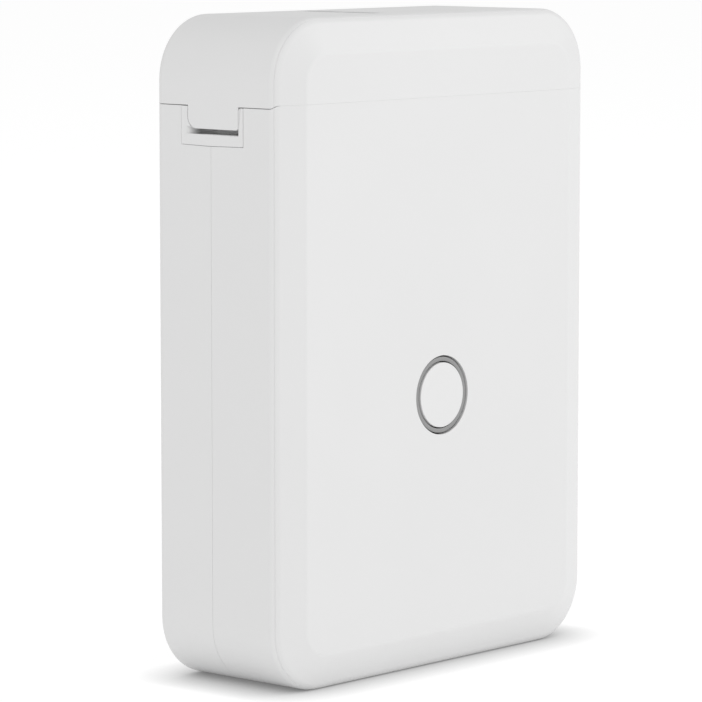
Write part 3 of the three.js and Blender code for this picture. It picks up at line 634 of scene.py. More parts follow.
def finger_slot(grow=0.0, top=TAB_Z + 0.3):
    """The slot under the tab: upright at its front end, a ramp at its back end."""
    front = TAB_Y[0] - TAB_GAP - grow
    back = SLOT_BACK + grow
    depth = SCOOP_X + grow
    floor = [(depth, back - RAMP_LENGTH), (depth, front)]
    profile = [(-FAR, front), (-FAR, back), (-HALF_WIDTH, back)] + floor
    return prism("finger_slot", profile, "z", SLOT_Z - grow, top)


def insert_profile(grow, top):
    """The insert's outline: its foot is a very shallow V, lowest at the case's split line."""
    y = (INSERT_Y[0] - grow, INSERT_Y[1] + grow)
    z = INSERT_Z - grow
    return [(y[0], top), (y[0], z), (SPLIT_Y, z - 0.12), (y[1], z), (y[1], top)]


def insert_edge(middle):
    """The insert is flush with the case, so its outline is fine."""
    on_side = middle.x < -HALF_WIDTH + 0.05
    near_tab = TAB_Y[0] - 0.3 < middle.y < TAB_Y[1] + 0.3 and middle.z > SLOT_Z - 0.1
    return 0.25 if on_side and not near_tab else 1.0


def latch_insert():
    insert = prism("latch_insert_skin", insert_profile(0, INSERT_TOP), "x", -HALF_WIDTH, INSERT_IN_X)
    cut(insert, prism("recess", tab_profile(TAB_GAP, FAR), "x", -FAR, SCOOP_X), finger_slot())
    radius = 0.5
    y = TAB_Y[0] - TAB_GAP
    rounding = arc((y - radius, INSERT_TOP - radius), radius, 0, 90, 6)
    rounding += [(y - radius, FAR), (y + 0.1, FAR), (y + 0.1, INSERT_TOP - radius)]
    cut(insert, prism("rounding", rounding, "x", -FAR, FAR))
    join(insert, block("catch", (SCOOP_X - 0.3, INSERT_IN_X), CATCH_Y, (89.6, 90.4)))
    return soften(insert, 0.06, weight=insert_edge)


def slot_shade_sheet():
    """A thin sheet over the slot's floor, ramp and back, which carries painted shade."""
    shade_sheet = finger_slot(SHADE_SHEET_DEPTH, TAB_Z + 0.05)
    shade_sheet.name = "finger_slot_shade_sheet"
    mouth = block("mouth", (-FAR, -HALF_WIDTH + 0.2), (-FAR, FAR), (-FAR, FAR))
    cut(shade_sheet, finger_slot(-SHADE_SHEET_DEPTH - 0.01, FAR), mouth)
    return soften(shade_sheet, 0.02, 1)


def slot_painted_shade():
    """Case plastic with painted shade along the slot: darkest low on the ramp."""
    material, tree, shader = new_material("slot_painted_shade", CASE_WHITE, 0.4)
    split = add_node(tree, "SeparateXYZ", {"Vector": object_place(tree)})
    along = spread(tree, split.outputs["Y"], (0, 1), (SLOT_BACK * MM, TAB_Y[0] * MM))
    # Painted shade: the tone drops low on the ramp, where the light does not reach.
    shade_tones = ramp(tree, along, {share: (tone,) * 3 for share, tone in SLOT_PAINTED_SHADE.items()})
    set_inputs(tree, shader, {"Base Color": shade_tones})
    return material


# ---- shells

BOSSES = [(-31.5, 7), (31.5, 7), (-31.5, 44), (31.5, 44)]
FRONT_BOSS = 2.4
FRONT_HOLE = 0.85
BACK_BOSS = 2.6
BACK_HOLE = 0.95
SCREW_RECESS = 2.0
RECESS_FLOOR_Y = 10.9
BOARD_BOSS = 1.9
BOARD_HOLE = 0.7
BOARD_Y = -9.0  # where the board's bosses end
USB_Z = (11.5, 20.5)
USB_Y = (-7.4, -4.2)
USB_GAP = 0.25
OUTLET_X = (-8.6, -5.35)
OUTLET_Y = (-6.7, 9.9)
LID_SCREWS = [(7, -3.5), (7, 6.5)]
RIB_PLACES = (-24, -16, 16, 24)
RIB_HEIGHT = 1.5


def whole_case(name):
    case = hull(name)
    cut(case, cavity(), hinge_groove(), barrel(LID_KNUCKLE, TURN_GAP))
    room = prism("room", insert_profile(INSERT_GAP, FAR), "x", -FAR, INSERT_IN_X + 0.2)
    return cut(case, room)


def lip(x, side):
    """A tongue on the inside of the rim, on the front (-1) or back (1) wall."""
    profile = [
        (INNER_Y + 0.3, 88.2),
        (INNER_Y + 0.3, 90.9),
        (INNER_Y - 0.12, 90.9),
        (INNER_Y - 0.12, 91.7),
        (INNER_Y - 0.3, 92.0),
        (INNER_Y - 0.7, 92.0),
        (INNER_Y - 0.7, 88.9),
    ]
    return prism("lip", [(side * y, z) for y, z in profile], "x", *x)


def front_shell():
    shell = keep(whole_case("front_shell_skin"), beyond_seam(-1), beyond_split(-1))
    join(shell, barrel(FRONT_KNUCKLE), lip((4, 27), -1), lip((-27, -18), -1))
    for x, z in BOSSES:
        join(shell, rod(FRONT_BOSS, x, z, -INNER_Y - ROOT, SPLIT_Y - TURN_GAP, 32))
        cut(shell, rod(FRONT_HOLE, x, z, -6))
    cut(shell, rod(RING_RADIUS + RING_GAP, 0, BUTTON_Z, -FAR, -INNER_Y + 1, 96))
    for node in ("board_screw_1", "board_screw_2"):
        x, _, z = middle_of(node)
        join(shell, rod(BOARD_BOSS, x, z, -INNER_Y - ROOT, BOARD_Y, 32))
        cut(shell, rod(BOARD_HOLE, x, z, -11.8))
    radius = (USB_Y[1] - USB_Y[0]) / 2 + USB_GAP
    ends = (USB_Z[0] - USB_GAP + radius, USB_Z[1] + USB_GAP - radius)
    socket_hole = prism("socket_hole", stadium(sum(USB_Y) / 2, ends, radius, 12), "x", INNER_X - 1, FAR)
    cut(shell, socket_hole, pin_bore())
    return soften(shell, SOFT_EDGE, weight=case_edge)


def back_shell():
    shell = keep(whole_case("back_shell_skin"), beyond_seam(-1), beyond_split(1))
    join(shell, barrel(BACK_KNUCKLE), lip((-27, 27), 1))
    for x, z in BOSSES:
        join(shell, rod(BACK_BOSS, x, z, SPLIT_Y + TURN_GAP, INNER_Y + ROOT, 32))
        cut(shell, rod(BACK_HOLE, x, z), rod(SCREW_RECESS, x, z, RECESS_FLOOR_Y, steps=48))
    cut(shell, pin_bore())
    return soften(shell, SOFT_EDGE, weight=case_edge)


def lid_shell():
    shell = cut(hull("lid_shell_skin"), cavity(), hinge_groove())
    cut(shell, barrel(FRONT_KNUCKLE, TURN_GAP), barrel(BACK_KNUCKLE, TURN_GAP))
    keep(shell, beyond_seam(1))
    tab = prism("tab", tab_profile(0, RIM_Z + 2), "x", -HALF_WIDTH, -INNER_X)
    hook = block("hook", (-INNER_X - 0.1, -INNER_X + 0.28), CATCH_Y, (88.4, 89.2))
    join(shell, tab, hook, barrel(LID_KNUCKLE))
    ceiling = HEIGHT - WALL
    across = (-INNER_Y - 0.3, INNER_Y + 0.3)
    for x in RIB_PLACES:
        join(shell, block("rib", (x - 0.4, x + 0.4), across, (ceiling - RIB_HEIGHT, HEIGHT - 1)))
    cut(shell, block("outlet", OUTLET_X, OUTLET_Y, (ceiling - 1, FAR)), pin_bore())
    for place in LID_SCREWS:
        cut(shell, prism("hole", circle(0.8, 24, place), "z", 90, HEIGHT - 0.7))
    return soften(shell, SOFT_EDGE, weight=case_edge)


finish_piece(front_shell(), "white_plastic", "housing", "front_shell")
finish_piece(back_shell(), "white_plastic", "housing", "back_shell")
finish_piece(lid_shell(), "white_plastic", "lid", "lid_shell")
finish_piece(latch_insert(), "white_plastic", "housing", "latch_insert")
# A sheet in the finger slot that carries painted shade.
finish_piece(slot_shade_sheet(), "ring_plastic", "housing", material=slot_painted_shade())

# ---- button


def button_cap():
    edge = 0.12
    corner = arc((BUTTON_RADIUS - edge, edge - HALF_DEPTH), edge, 270, 360, 6)
    profile = [(0, -HALF_DEPTH)] + corner
    profile += [
        (BUTTON_RADIUS, -10.7),
        (6.2, -10.7),
        (6.2, -10.1),
        (4.2, -10.1),
        (4.2, -12.3),
        (1.3, -12.3),
        (1.3, -11.25),
        (0, -11.25),
    ]
    return soften(turned("button_cap", profile, 0, BUTTON_Z, 96), 0.05)


def light_ring():
    inner = BUTTON_RADIUS + CAP_GAP
    edge = 0.06
    profile = [
        (inner, RING_FACE + edge),
        (inner + edge, RING_FACE),
        (RING_RADIUS - edge, RING_FACE),
        (RING_RADIUS, RING_FACE + edge),
        (RING_RADIUS, -11.8),
        (7.4, -11.8),
        (7.4, -11),
        (inner, -11),
    ]
    return soften(turned("light_ring", profile, 0, BUTTON_Z, 96), 0.03)


finish_piece(button_cap(), "button_plastic", "button", "power_button")
finish_piece(light_ring(), "ring_plastic", "housing", "button_ring")

# ---- label roll

LINER = 0.12
LABEL_RISE = 0.09
LABEL_LENGTH = 30.0
LABEL_SPACE = 3.0
LABEL_MARGIN = 0.7
LABELS_ROUND = 3  # on the roll's outermost layer
FIRST_LABEL = 0.6
LABEL_EDGE = 0.05  # the length in which the surface rises to a label
CAD_BAND = 0.3  # the CAD band's thickness
BEND_Z = 91.5  # where the band turns upright
WEB_X = spans("label_web")[0][0] + CAD_BAND / 2
ROLL_RADIUS = radius_of("label_roll")
CORE_RADIUS = radius_of("roll_core")
ROLL_Y = spans("label_roll")[1]
LABEL_Y = (ROLL_Y[0] + LABEL_MARGIN, ROLL_Y[1] - LABEL_MARGIN)


def wound_end(inner, outer, y, side, rng):
    """The end of the roll: each layer stands a hair in or out of its neighbour."""
    layers = 36
    pitch = (outer - inner) / layers
    points = []
    for i in range(layers):
        set_back = side * rng.uniform(0.0, 0.07)
        points += [(inner + i * pitch, y + set_back), (inner + (i + 0.8) * pitch, y + set_back)]
        if i + 1 < layers:
            points.append((inner + (i + 0.9) * pitch, y + side * 0.11))
    return points


def label_edges(around, steps=120):
    """Lengths round the roll, each with 1 where there is a label and 0 where there is none."""
    edges = {0.0: 0}
    spells = []
    for i in range(LABELS_ROUND):
        start = i * (LABEL_LENGTH + LABEL_SPACE)
        end = min(start + LABEL_LENGTH, around - 0.5) + FIRST_LABEL
        start += FIRST_LABEL
        edges.update({start: 0, start + LABEL_EDGE: 1, end: 1, end + LABEL_EDGE: 0})
        spells.append((start + LABEL_EDGE, end))
    for i in range(steps):
        along = around * i / steps
        edges.setdefault(along, int(any(start < along < end for start, end in spells)))
    return edges


def label_roll():
    rng = random.Random(4)
    bare = ROLL_RADIUS - LABEL_RISE - 0.01
    inner = CORE_RADIUS + 0.03
    front = wound_end(inner, bare, ROLL_Y[0], 1, rng)
    back = wound_end(inner, bare, ROLL_Y[1], -1, rng)[::-1]
    edges = label_edges(2 * math.pi * ROLL_RADIUS)
    loops = []
    for along in sorted(edges):
        outer = bare + LABEL_RISE * edges[along]
        skin = [
            (bare, LABEL_Y[0]),
            (outer, LABEL_Y[0] + 0.02),
            (outer, LABEL_Y[1] - 0.02),
            (bare, LABEL_Y[1]),
        ]
        x, z = math.cos(along / ROLL_RADIUS), math.sin(along / ROLL_RADIUS)
        loops.append([(ROLL_X + r * x, y, ROLL_Z + r * z) for r, y in front + skin + back])
    return smoothed(face_out(loft("label_roll_wound", loops, ring=True)), 25)


def band_path():
    """The loose band: round the roll's edge, straight to the bend, then up between head and platen."""
    radius = ROLL_RADIUS + 0.05
    bend = Vector((WEB_X, BEND_Z))
    centre = Vector((ROLL_X, ROLL_Z))
    reach = bend - centre
    leave = math.atan2(reach.y, reach.x) + math.acos(radius / reach.length)
    path = [centre + radius * Vector((math.cos(a), math.sin(a))) for a in (leave + 0.5, leave + 0.25, leave)]
    foot = path[-1]
    path += [foot.lerp(bend, t) for t in (0.25, 0.5, 0.7, 0.85)]
    low = foot.lerp(bend, 0.9)
    high = Vector((WEB_X, BEND_Z + 3))
    for i in range(1, 7):
        t = i / 6
        path.append(low * (1 - t) ** 2 + bend * 2 * t * (1 - t) + high * t * t)
    path.append(Vector((WEB_X, spans("label_web")[2][1])))
    return path


def band(name, path, y, left, right):
    """A strip along a path in x and z. left and right are its two sides' distances from the path."""
    loops = []
    for i, point in enumerate(path):
        ahead = heading(path, i)
        across = Vector((-ahead.y, ahead.x))
        a, b = point + across * left, point + across * right
        loops.append([(a.x, y[0], a.y), (a.x, y[1], a.y), (b.x, y[1], b.y), (b.x, y[0], b.y)])
    return face_out(loft(name, loops))


def part_of(path, start, end):
    """The stretch of a path between two lengths along it."""
    points = []
    done = 0.0
    for a, b in zip(path, path[1:]):
        length = (b - a).length
        for mark in (start, end):
            if done <= mark < done + length:
                points.append(a.lerp(b, (mark - done) / length))
        if start < done + length < end:
            points.append(b.copy())
        done += length
    return points


def label_band():
    path = band_path()
    length = sum((b - a).length for a, b in zip(path, path[1:]))
    pieces = [band("liner", path, ROLL_Y, LINER / 2, -LINER / 2)]
    for start, end in ((0.2, 16), (19, length - 4)):
        stretch = part_of(path, start, end)
        pieces.append(band("label", stretch, LABEL_Y, LINER / 2 + LABEL_RISE, LINER / 2 - 0.02))
    return merged("label_band", pieces)


def roll_core(seam_turns=2, steps=72):
    """The board tube, with the spiral seam of its paper on the inside."""
    inner = CORE_RADIUS - 1.0
    profile = tube_section(inner, CORE_RADIUS, ROLL_Y, 0.1, 0.1)
    core = turned("roll_core_tube", profile, ROLL_X, ROLL_Z, 96)
    spiral = []
    for i in range(steps + 1):
        angle = 2 * math.pi * seam_turns * i / steps
        y = ROLL_Y[0] - 1 + (ROLL_Y[1] - ROLL_Y[0] + 2) * i / steps
        spiral.append((ROLL_X + inner * math.cos(angle), y, ROLL_Z + inner * math.sin(angle)))
    return smoothed(cut(core, wire("seam", spiral, 0.07, 6)))


# ---- gears, platen and motor

MODULE = 0.5
PRESSURE_ANGLE = math.radians(20)
PLATEN_TEETH = 20
SMALL_TEETH = 12
LARGE_TEETH = 30
BACKLASH = 0.07
TOOTH_CHAMFER = 0.12
SHAFT_RADIUS = radius_of("platen_shaft")
STUD_RADIUS = radius_of("gear_stud")
PLATEN_TO_COMPOUND = math.atan2(COMPOUND_Z - PLATEN_Z, COMPOUND_X - PLATEN_X)
COMPOUND_TO_MOTOR = math.atan2(MOTOR_Z - COMPOUND_Z, MOTOR_X - COMPOUND_X)


def facing(angle, teeth):
    """The first tooth's angle that puts a gap where the other gear has its tooth."""
    return angle + math.pi + math.pi / teeth


def gear_wheel(name, teeth, first_tooth, x, z, y, bore):
    """A spur gear with involute flanks and chamfered tooth ends."""
    pitch = MODULE * teeth / 2
    base = pitch * math.cos(PRESSURE_ANGLE)
    root = pitch - 1.15 * MODULE
    tip = pitch + 0.8 * MODULE

    def involute(angle):
        return math.tan(angle) - angle

    def half_angle(radius):
        flank = involute(math.acos(base / max(radius, base)))
        return math.pi / (2 * teeth) + involute(PRESSURE_ANGLE) - flank - BACKLASH / pitch

    def loop(along, shrink):
        foot = max(root, base)
        radii = [root] + [foot + (tip - shrink - foot) * i / 4 for i in range(5)]
        points = []
        for tooth in range(teeth):
            centre = first_tooth + 2 * math.pi * tooth / teeth
            flanks = [(r, centre - half_angle(r)) for r in radii]
            flanks += [(r, centre + half_angle(r)) for r in reversed(radii)]
            points += [(x + r * math.cos(a), along, z + r * math.sin(a)) for r, a in flanks]
        return points

    edge = TOOTH_CHAMFER
    loops = [loop(y[0], edge), loop(y[0] + edge, 0), loop(y[1] - edge, 0), loop(y[1], edge)]
    return cut(face_out(loft(name, loops)), rod(bore, x, z, steps=32))


def compound_gear():
    place = (COMPOUND_X, COMPOUND_Z)
    y = spans("compound_gear")[1]
    middle = y[0] + 1.6
    bore = STUD_RADIUS + 0.04
    large = gear_wheel("compound_gear_wheel", LARGE_TEETH, COMPOUND_TO_MOTOR, *place, (y[0], middle), bore)
    cut(large, square_ring((2.4, 6.2), (y[0] - 1, y[0] + 0.45), *place))
    for z, x in circle(4.3, 5, place[::-1], 0.3):
        cut(large, rod(0.9, x, z, end=middle + 0.1, steps=20))
    first = facing(PLATEN_TO_COMPOUND, SMALL_TEETH)
    small = gear_wheel("small", SMALL_TEETH, first, *place, (middle - 0.3, y[1]), bore)
    return soften(join(large, small), 0.04, 1)


def platen_gear():
    place = (PLATEN_X, PLATEN_Z)
    y = spans("platen_gear")[1]
    bore = SHAFT_RADIUS + 0.03
    wheel = gear_wheel("platen_gear_wheel", PLATEN_TEETH, PLATEN_TO_COMPOUND, *place, y, bore)
    cut(wheel, square_ring((2.1, 3.6), (y[0] - 1, y[0] + 0.4), *place))
    return soften(wheel, 0.04, 1)


def motor_pinion():
    y = spans("motor_pinion")[1]
    first = facing(COMPOUND_TO_MOTOR, SMALL_TEETH)
    bore = STUD_RADIUS + 0.01
    return soften(gear_wheel("motor_pinion_wheel", SMALL_TEETH, first, MOTOR_X, MOTOR_Z, y, bore), 0.03, 1)


def spindle(node, x, z, grooves=()):
    """A ground shaft with chamfered ends and grooves for retaining rings."""
    y = spans(node)[1]
    radius = radius_of(node)
    bottom = radius - 0.12
    profile = [(0, y[0]), (radius - 0.15, y[0]), (radius, y[0] + 0.15)]
    for place in grooves:
        profile += [(radius, place), (bottom, place + 0.01), (bottom, place + 0.3), (radius, place + 0.31)]
    profile += [(radius, y[1] - 0.15), (radius - 0.15, y[1]), (0, y[1])]
    return smoothed(turned(node + "_ground", profile, x, z, 40))


def platen_roller():
    y = spans("platen_roller")[1]
    radius = radius_of("platen_roller")
    inner = SHAFT_RADIUS + 0.02
    edge = arc((radius - 0.3, 0), 0.3, 270, 360, 4)
    profile = [(inner, y[0])]
    profile += [(u, y[0] + 0.3 + v) for u, v in edge]
    profile += [(u, y[1] - 0.3 - v) for u, v in reversed(edge)]
    profile += [(inner, y[1])]
    return smoothed(turned("platen_rubber_sleeve", profile, PLATEN_X, PLATEN_Z, 96), 50)


def bush(node):
    profile = tube_section(SHAFT_RADIUS + 0.05, radius_of(node), spans(node)[1], 0.1, 0.12)
    return smoothed(turned(node + "_turned", profile, PLATEN_X, PLATEN_Z, 48))


def around_motor(radius, degrees):
    angle = math.radians(degrees)
    return MOTOR_X + radius * math.cos(angle), MOTOR_Z + radius * math.sin(angle)


def motor():
    """A drawn can with a crimped end cap, two solder tabs and a bearing boss."""
    y = spans("motor")[1]
    radius = radius_of("motor")
    can_end = y[1] - 1
    profile = [(0, y[0] - 0.25), (1.9, y[0] - 0.25), (1.9, y[0])]
    profile += arc((radius - 0.7, y[0] + 0.7), 0.7, 270, 360, 5)
    profile += [(radius, can_end - 0.9), (radius - 0.12, can_end - 0.8), (radius - 0.12, can_end)]
    profile += [(radius - 1.4, can_end), (radius - 1.4, y[1] - 0.15), (radius - 1.55, y[1])]
    profile += [(2.2, y[1]), (2.2, y[1] + 0.5), (2.0, y[1] + 0.6), (0, y[1] + 0.6)]
    can = turned("motor_can_drawn", profile, MOTOR_X, MOTOR_Z, 96)
    tab_y = (y[1] - 0.2, y[1] + 1.3)
    for degrees in (50, 230):
        x, z = around_motor(4.6, degrees)
        join(can, rounded("tab", (x - 0.8, x + 0.8), tab_y, (z - 0.2, z + 0.2), 0.15, "y", 2))
    for degrees in range(0, 360, 60):
        cut(can, rod(0.45, *around_motor(radius + 0.1, degrees), can_end - 1.8, can_end - 1.0, 16))
    return smoothed(can)


def head_spring(node, turns=5, steps=100):
    """A closed-end coil spring along X."""
    x, y, z = spans(node)
    wire_radius = 0.2
    coil = (y[1] - y[0]) / 2 - wire_radius
    centre = ((y[0] + y[1]) / 2, (z[0] + z[1]) / 2)
    points = []
    for i in range(steps + 1):
        t = i / steps
        eased = 0.5 - 0.5 * math.cos(math.pi * t)
        along = x[0] + wire_radius + (x[1] - x[0] - 2 * wire_radius) * (0.4 * eased + 0.6 * t)
        angle = 2 * math.pi * turns * t
        points.append((along, centre[0] + coil * math.cos(angle), centre[1] + coil * math.sin(angle)))
    return smoothed(wire(node + "_coil", points, wire_radius), 50)


# ---- screws


def screw(node, along, sign):
    """A pan-head screw with a cross recess. Its head is on the +along or -along side."""
    ranges = dict(zip("xyz", spans(node)))
    head = radius_of(node)
    low, high = ranges[along]
    length = high - low
    head_height = 1.2 if head > 1.6 else 0.7 if head < 1.3 else 0.8
    shank = head * 0.45
    pitch = 0.5
    y = -length + shank
    profile = [(0, -length), (shank * 0.5, -length), (shank, y)]
    while y + pitch < -head_height - 0.3:
        profile += [(shank, y), (shank + 0.12, y + pitch * 0.35), (shank, y + pitch * 0.7)]
        y += pitch
    profile += [(shank, -head_height), (head - 0.06, -head_height), (head, -head_height + 0.06)]
    for degrees in (8, 25, 45, 65):
        angle = math.radians(degrees)
        profile.append((head * math.cos(angle), -0.35 * head_height * (1 - math.sin(angle))))
    profile.append((0, 0))
    body = turned(node + "_pan", profile, 0, 0, 32)
    wide = (-head * 0.55, head * 0.55)
    thin = (-head * 0.13, head * 0.13)
    depth = (-head_height * 0.62, 0.5)
    cut(body, block("slot", wide, depth, thin), block("slot", thin, depth, wide))
    turn = {
        ("y", 1): Matrix.Identity(4),
        ("y", -1): Matrix.Rotation(math.pi, 4, "Z"),
        ("z", -1): Matrix.Rotation(-math.pi / 2, 4, "X"),
    }[(along, sign)]
    place = dict(zip("xyz", middle_of(node)))
    place[along] = high if sign > 0 else low
    body.data.transform(Matrix.Translation(Vector(place.values()) * MM) @ turn)
    return smoothed(body)


# ---- frames inside

BAY_X = ROLL_X
BAY_WALL = 1.2
BAY_Z = spans("roll_bay")[2][0] + spans("roll_bay")[0][1] - BAY_X
BAY_LIP_Z = 67
END_GAP = 0.6  # between the roll's ends and the bay's cheeks
GUIDE_RADII = (17.2, 18.2)  # of the ribs that hold the roll's ends off the cheeks
EAR_RADIUS = 2.5
BAY_RIBS = (BAY_X - 8, BAY_X, BAY_X + 8)


def within(span, margin):
    return span[0] + margin, span[1] - margin


def print_frame():
    x, y, z = spans("print_frame")
    left = -24  # the left face of the side wall
    plate_x = (left, x[1])
    through_wall = (left - 2, left + 2)
    back_y = (y[1] - 1.2, y[1])
    inside_y = within(y, 0.1)
    moulding = rounded("print_frame_moulding", plate_x, (y[0], y[0] + 1.4), z, 1.2)
    join(
        moulding,
        rounded("back", plate_x, back_y, z, 1.2),
        rounded("ear", (x[0], left + 1), back_y, (z[0] + 0.6, 91), 1.0),
        block("wall", (left, left + 1), inside_y, within(z, 1.3)),
        block("floor", (-22.9, -7.5), inside_y, (z[0], z[0] + 1)),
        block("seat", (-14.2, -13), inside_y, (94.5, z[1])),
    )
    for rib_z in (78, 84):
        join(moulding, block("rib", (left - 0.6, left + 0.1), within(y, 0.8), (rib_z, rib_z + 0.8)))
    pivot_x, _, pivot_z = middle_of("head_pivot")
    holes = [
        rod(2.2, MOTOR_X, MOTOR_Z, end=0, steps=40),
        rod(STUD_RADIUS + 0.02, COMPOUND_X, COMPOUND_Z, end=0),
        rod(radius_of("head_pivot") + 0.03, pivot_x, pivot_z),
    ]
    for node in ("motor_screw_1", "motor_screw_2", "frame_screw_1", "frame_screw_2"):
        sx, _, sz = middle_of(node)
        side = (-FAR, 0) if node.startswith("motor") else (0, FAR)
        holes.append(rod(SCREW_HOLE, sx, sz, *side))
    holes.append(rounded("cable_notch", through_wall, (-1.5, 3.5), (90.5, 110), 0.8, "x", 4))
    holes.append(rounded("window", through_wall, (4.8, 8.4), (80, 88), 0.8, "x", 4))
    return soften(cut(moulding, *holes), MOULDED_EDGE)


def roll_bay():
    x, y, z = spans("roll_bay")
    outer = x[1] - BAY_X
    inner = outer - BAY_WALL
    left = BAY_X - inner - 0.4
    side = [(z[1], x[1]), (BAY_Z, x[1])]
    side += arc((BAY_Z, BAY_X), outer, 90, 270, 48)[1:]
    side += [(BAY_LIP_Z, BAY_X - outer), (BAY_LIP_Z, left), (z[1] - 1.5, left), (z[1], left + 1.5)]
    bay = prism("roll_bay_moulding", side, "y", *y)
    inner_y = (ROLL_Y[0] - END_GAP, ROLL_Y[1] + END_GAP)
    room = [(FAR, BAY_X + inner)] + arc((BAY_Z, BAY_X), inner, 90, 270, 48) + [(FAR, BAY_X - inner)]
    cut(bay, prism("room", room, "y", *inner_y))
    cut(bay, block("exit", (-FAR, BAY_X), inner_y, (BAY_LIP_Z, FAR)))
    ear_y = (inner_y[1], y[1])
    screws = [middle_of(node) for node in ("bay_screw_1", "bay_screw_2")]
    join(bay, *[rod(EAR_RADIUS, sx, sz, *ear_y, 32) for sx, _, sz in screws])
    arm_x, _, arm_z = screws[0]
    join(bay, block("arm", (arm_x, BAY_X - 12), ear_y, (arm_z - EAR_RADIUS, arm_z + EAR_RADIUS)))
    for guide_y in ((inner_y[0] - 0.1, inner_y[0] + 0.25), (inner_y[1] - 0.25, inner_y[1] + 0.1)):
        guide = square_ring(GUIDE_RADII, guide_y, BAY_X, BAY_Z, 96)
        join(bay, keep(guide, block("low", (-FAR, FAR), (-FAR, FAR), (-FAR, BAY_Z))))
    for rib_x in BAY_RIBS:
        floor_z = BAY_Z - math.sqrt(inner ** 2 - (rib_x - BAY_X) ** 2)
        join(bay, block("rib", (rib_x - 0.4, rib_x + 0.4), inner_y, (floor_z - 0.4, floor_z + 0.15)))
    cut(bay, *[rod(SCREW_HOLE, sx, sz, 0) for sx, _, sz in screws])
    return soften(bay, MOULDED_EDGE)


def lid_frame():
    x, y, z = spans("lid_frame")
    flange_z = (z[1] - 1.4, z[1])
    cheek_x = (x[0], 3.1)
    moulding = rounded("lid_frame_moulding", cheek_x, (y[0], y[0] + 1.2), z, 1.2)
    join(
        moulding,
        rounded("cheek", cheek_x, (y[1] - 1.2, y[1]), z, 1.2),
        block("bridge", (1.6, 3.05), within(y, 0.1), (z[0] + 1.2, z[1] - 0.05)),
        rounded("flange", (1.65, x[1]), y, flange_z, 1.0, "z"),
    )
    gusset = [(flange_z[0] + 0.1, 3.0), (z[0] + 2.4, 3.0), (flange_z[0] + 0.1, 6.6)]
    for rib_y in (y[0] + 3.4, (y[0] + y[1]) / 2, y[1] - 3.4):
        join(moulding, prism("gusset", gusset, "y", rib_y - 0.4, rib_y + 0.4))
    cut(moulding, rod(radius_of("platen_bush_front") + 0.03, PLATEN_X, PLATEN_Z, steps=40))
    for node in ("lid_screw_1", "lid_screw_2"):
        cut(moulding, prism("hole", circle(SCREW_HOLE, 24, middle_of(node)), "z", 95, FAR))
    return soften(moulding, MOULDED_EDGE)


def print_head():
    """The ceramic plate with the raised glass line that holds the heaters."""
    x, y, z = spans("print_head")
    line = arc((PLATEN_Z, x[1] - 0.35), 0.4, 60, 120, 6)
    line += [(PLATEN_Z - 0.3, x[1] - 0.2), (PLATEN_Z + 0.3, x[1] - 0.2)]
    plate = join(block("print_head_plate", x, y, z), prism("glaze", line, "y", *within(y, 0.2)))
    return soften(plate, 0.06)


def head_cover():
    """The black coating over the driver chips, below the heater line."""
    x, y, z = spans("print_head")
    cover_x = (x[1] - 0.05, x[1] + 0.12)
    cover_z = (z[0] + 0.3, z[0] + 1.5)
    return soften(rounded("head_cover_coating", cover_x, within(y, 1), cover_z, 0.35, "x", 4), 0.05)


def heat_sink(fins=9):
    x, y, z = spans("head_heatsink")
    pivot_x, _, pivot_z = middle_of("head_pivot")
    plate_x = (-9.9, x[1])
    sink = join(block("heat_sink_extrusion", plate_x, y, z), rod(1.6, pivot_x, pivot_z, *y, 40))
    pitch = (y[1] - y[0]) / fins
    for i in range(1, fins):
        groove_y = y[0] + i * pitch
        cut(sink, block("groove", (-FAR, plate_x[0] + 0.7), (groove_y - 0.3, groove_y + 0.3), (94, FAR)))
    cut(sink, rod(radius_of("head_pivot") + 0.03, pivot_x, pivot_z))
    return soften(sink, 0.06)


# ---- electronics

BOARD_HALF = 28.3


def main_board():
    x, y, z = spans("main_board")
    card = rounded("circuit_card", (-BOARD_HALF, BOARD_HALF), y, z, 1.5)
    join(card, rounded("tongue", (20, x[1]), y, (USB_Z[0] - 0.5, USB_Z[1] + 0.5), 0.6))
    for node in ("board_screw_1", "board_screw_2"):
        sx, _, sz = middle_of(node)
        cut(card, rod(0.8, sx, sz))
    return soften(card, 0.08, 1)


def board_parts(rng):
    """Small parts on both sides of the board, in a group for each material."""
    y = spans("main_board")[1]
    groups = {"chip_plastic": [], "connector_nylon": [], "steel": []}
    dark, pale, metal = groups.values()

    def put(x, z, size, height, group, back=False):
        start = y[1] - 0.05 if back else y[0] + 0.05
        end = start + (height if back else -height)
        half_x, half_z = size[0] / 2, size[1] / 2
        span = (min(start, end), max(start, end))
        group.append(block("part", (x - half_x, x + half_x), span, (z - half_z, z + half_z)))

    def chip(x, z, size, pins, back=False):
        put(x, z, size, 1.0, dark, back)
        for side in (-1, 1):
            for i in range(pins):
                place = (i - (pins - 1) / 2) * size[1] * 0.85 / (pins - 1)
                put(x + side * (size[0] / 2 + 0.3), z + place, (0.7, 0.22), 0.18, metal, back)

    chip(-4, 28, (4, 5), 8)
    chip(20, 52, (3, 4), 6)
    chip(-14, 24, (5, 6), 10, back=True)
    chip(6, 20, (3, 4), 4, back=True)
    for column in range(7):
        for row in range(5):
            x = -22 + column * 5.4 + rng.uniform(-0.6, 0.6)
            z = 12 + row * 2.4
            if rng.random() < 0.75:
                put(x, z, (1.0, 0.5), 0.4, pale if rng.random() < 0.5 else dark)
                put(x - 0.6, z, (0.3, 0.54), 0.42, metal)
                put(x + 0.6, z, (0.3, 0.54), 0.42, metal)
    for i in range(6):
        put(-4 + i * 2.2, 36.5, (0.8, 1.6), 0.7, pale)
        put(12 + i * 1.6, 12.5, (0.7, 1.2), 0.6, pale, back=True)
    put(-18, 39, (5, 3.6), 2.0, pale)
    put(14, 40, (3.2, 3.2), 1.4, metal)
    for tone, (slot, group) in zip(("dark", "pale", "metal"), groups.items()):
        finish_piece(soften(merged("board_parts_" + tone, group), 0.04, 1), slot, "housing")


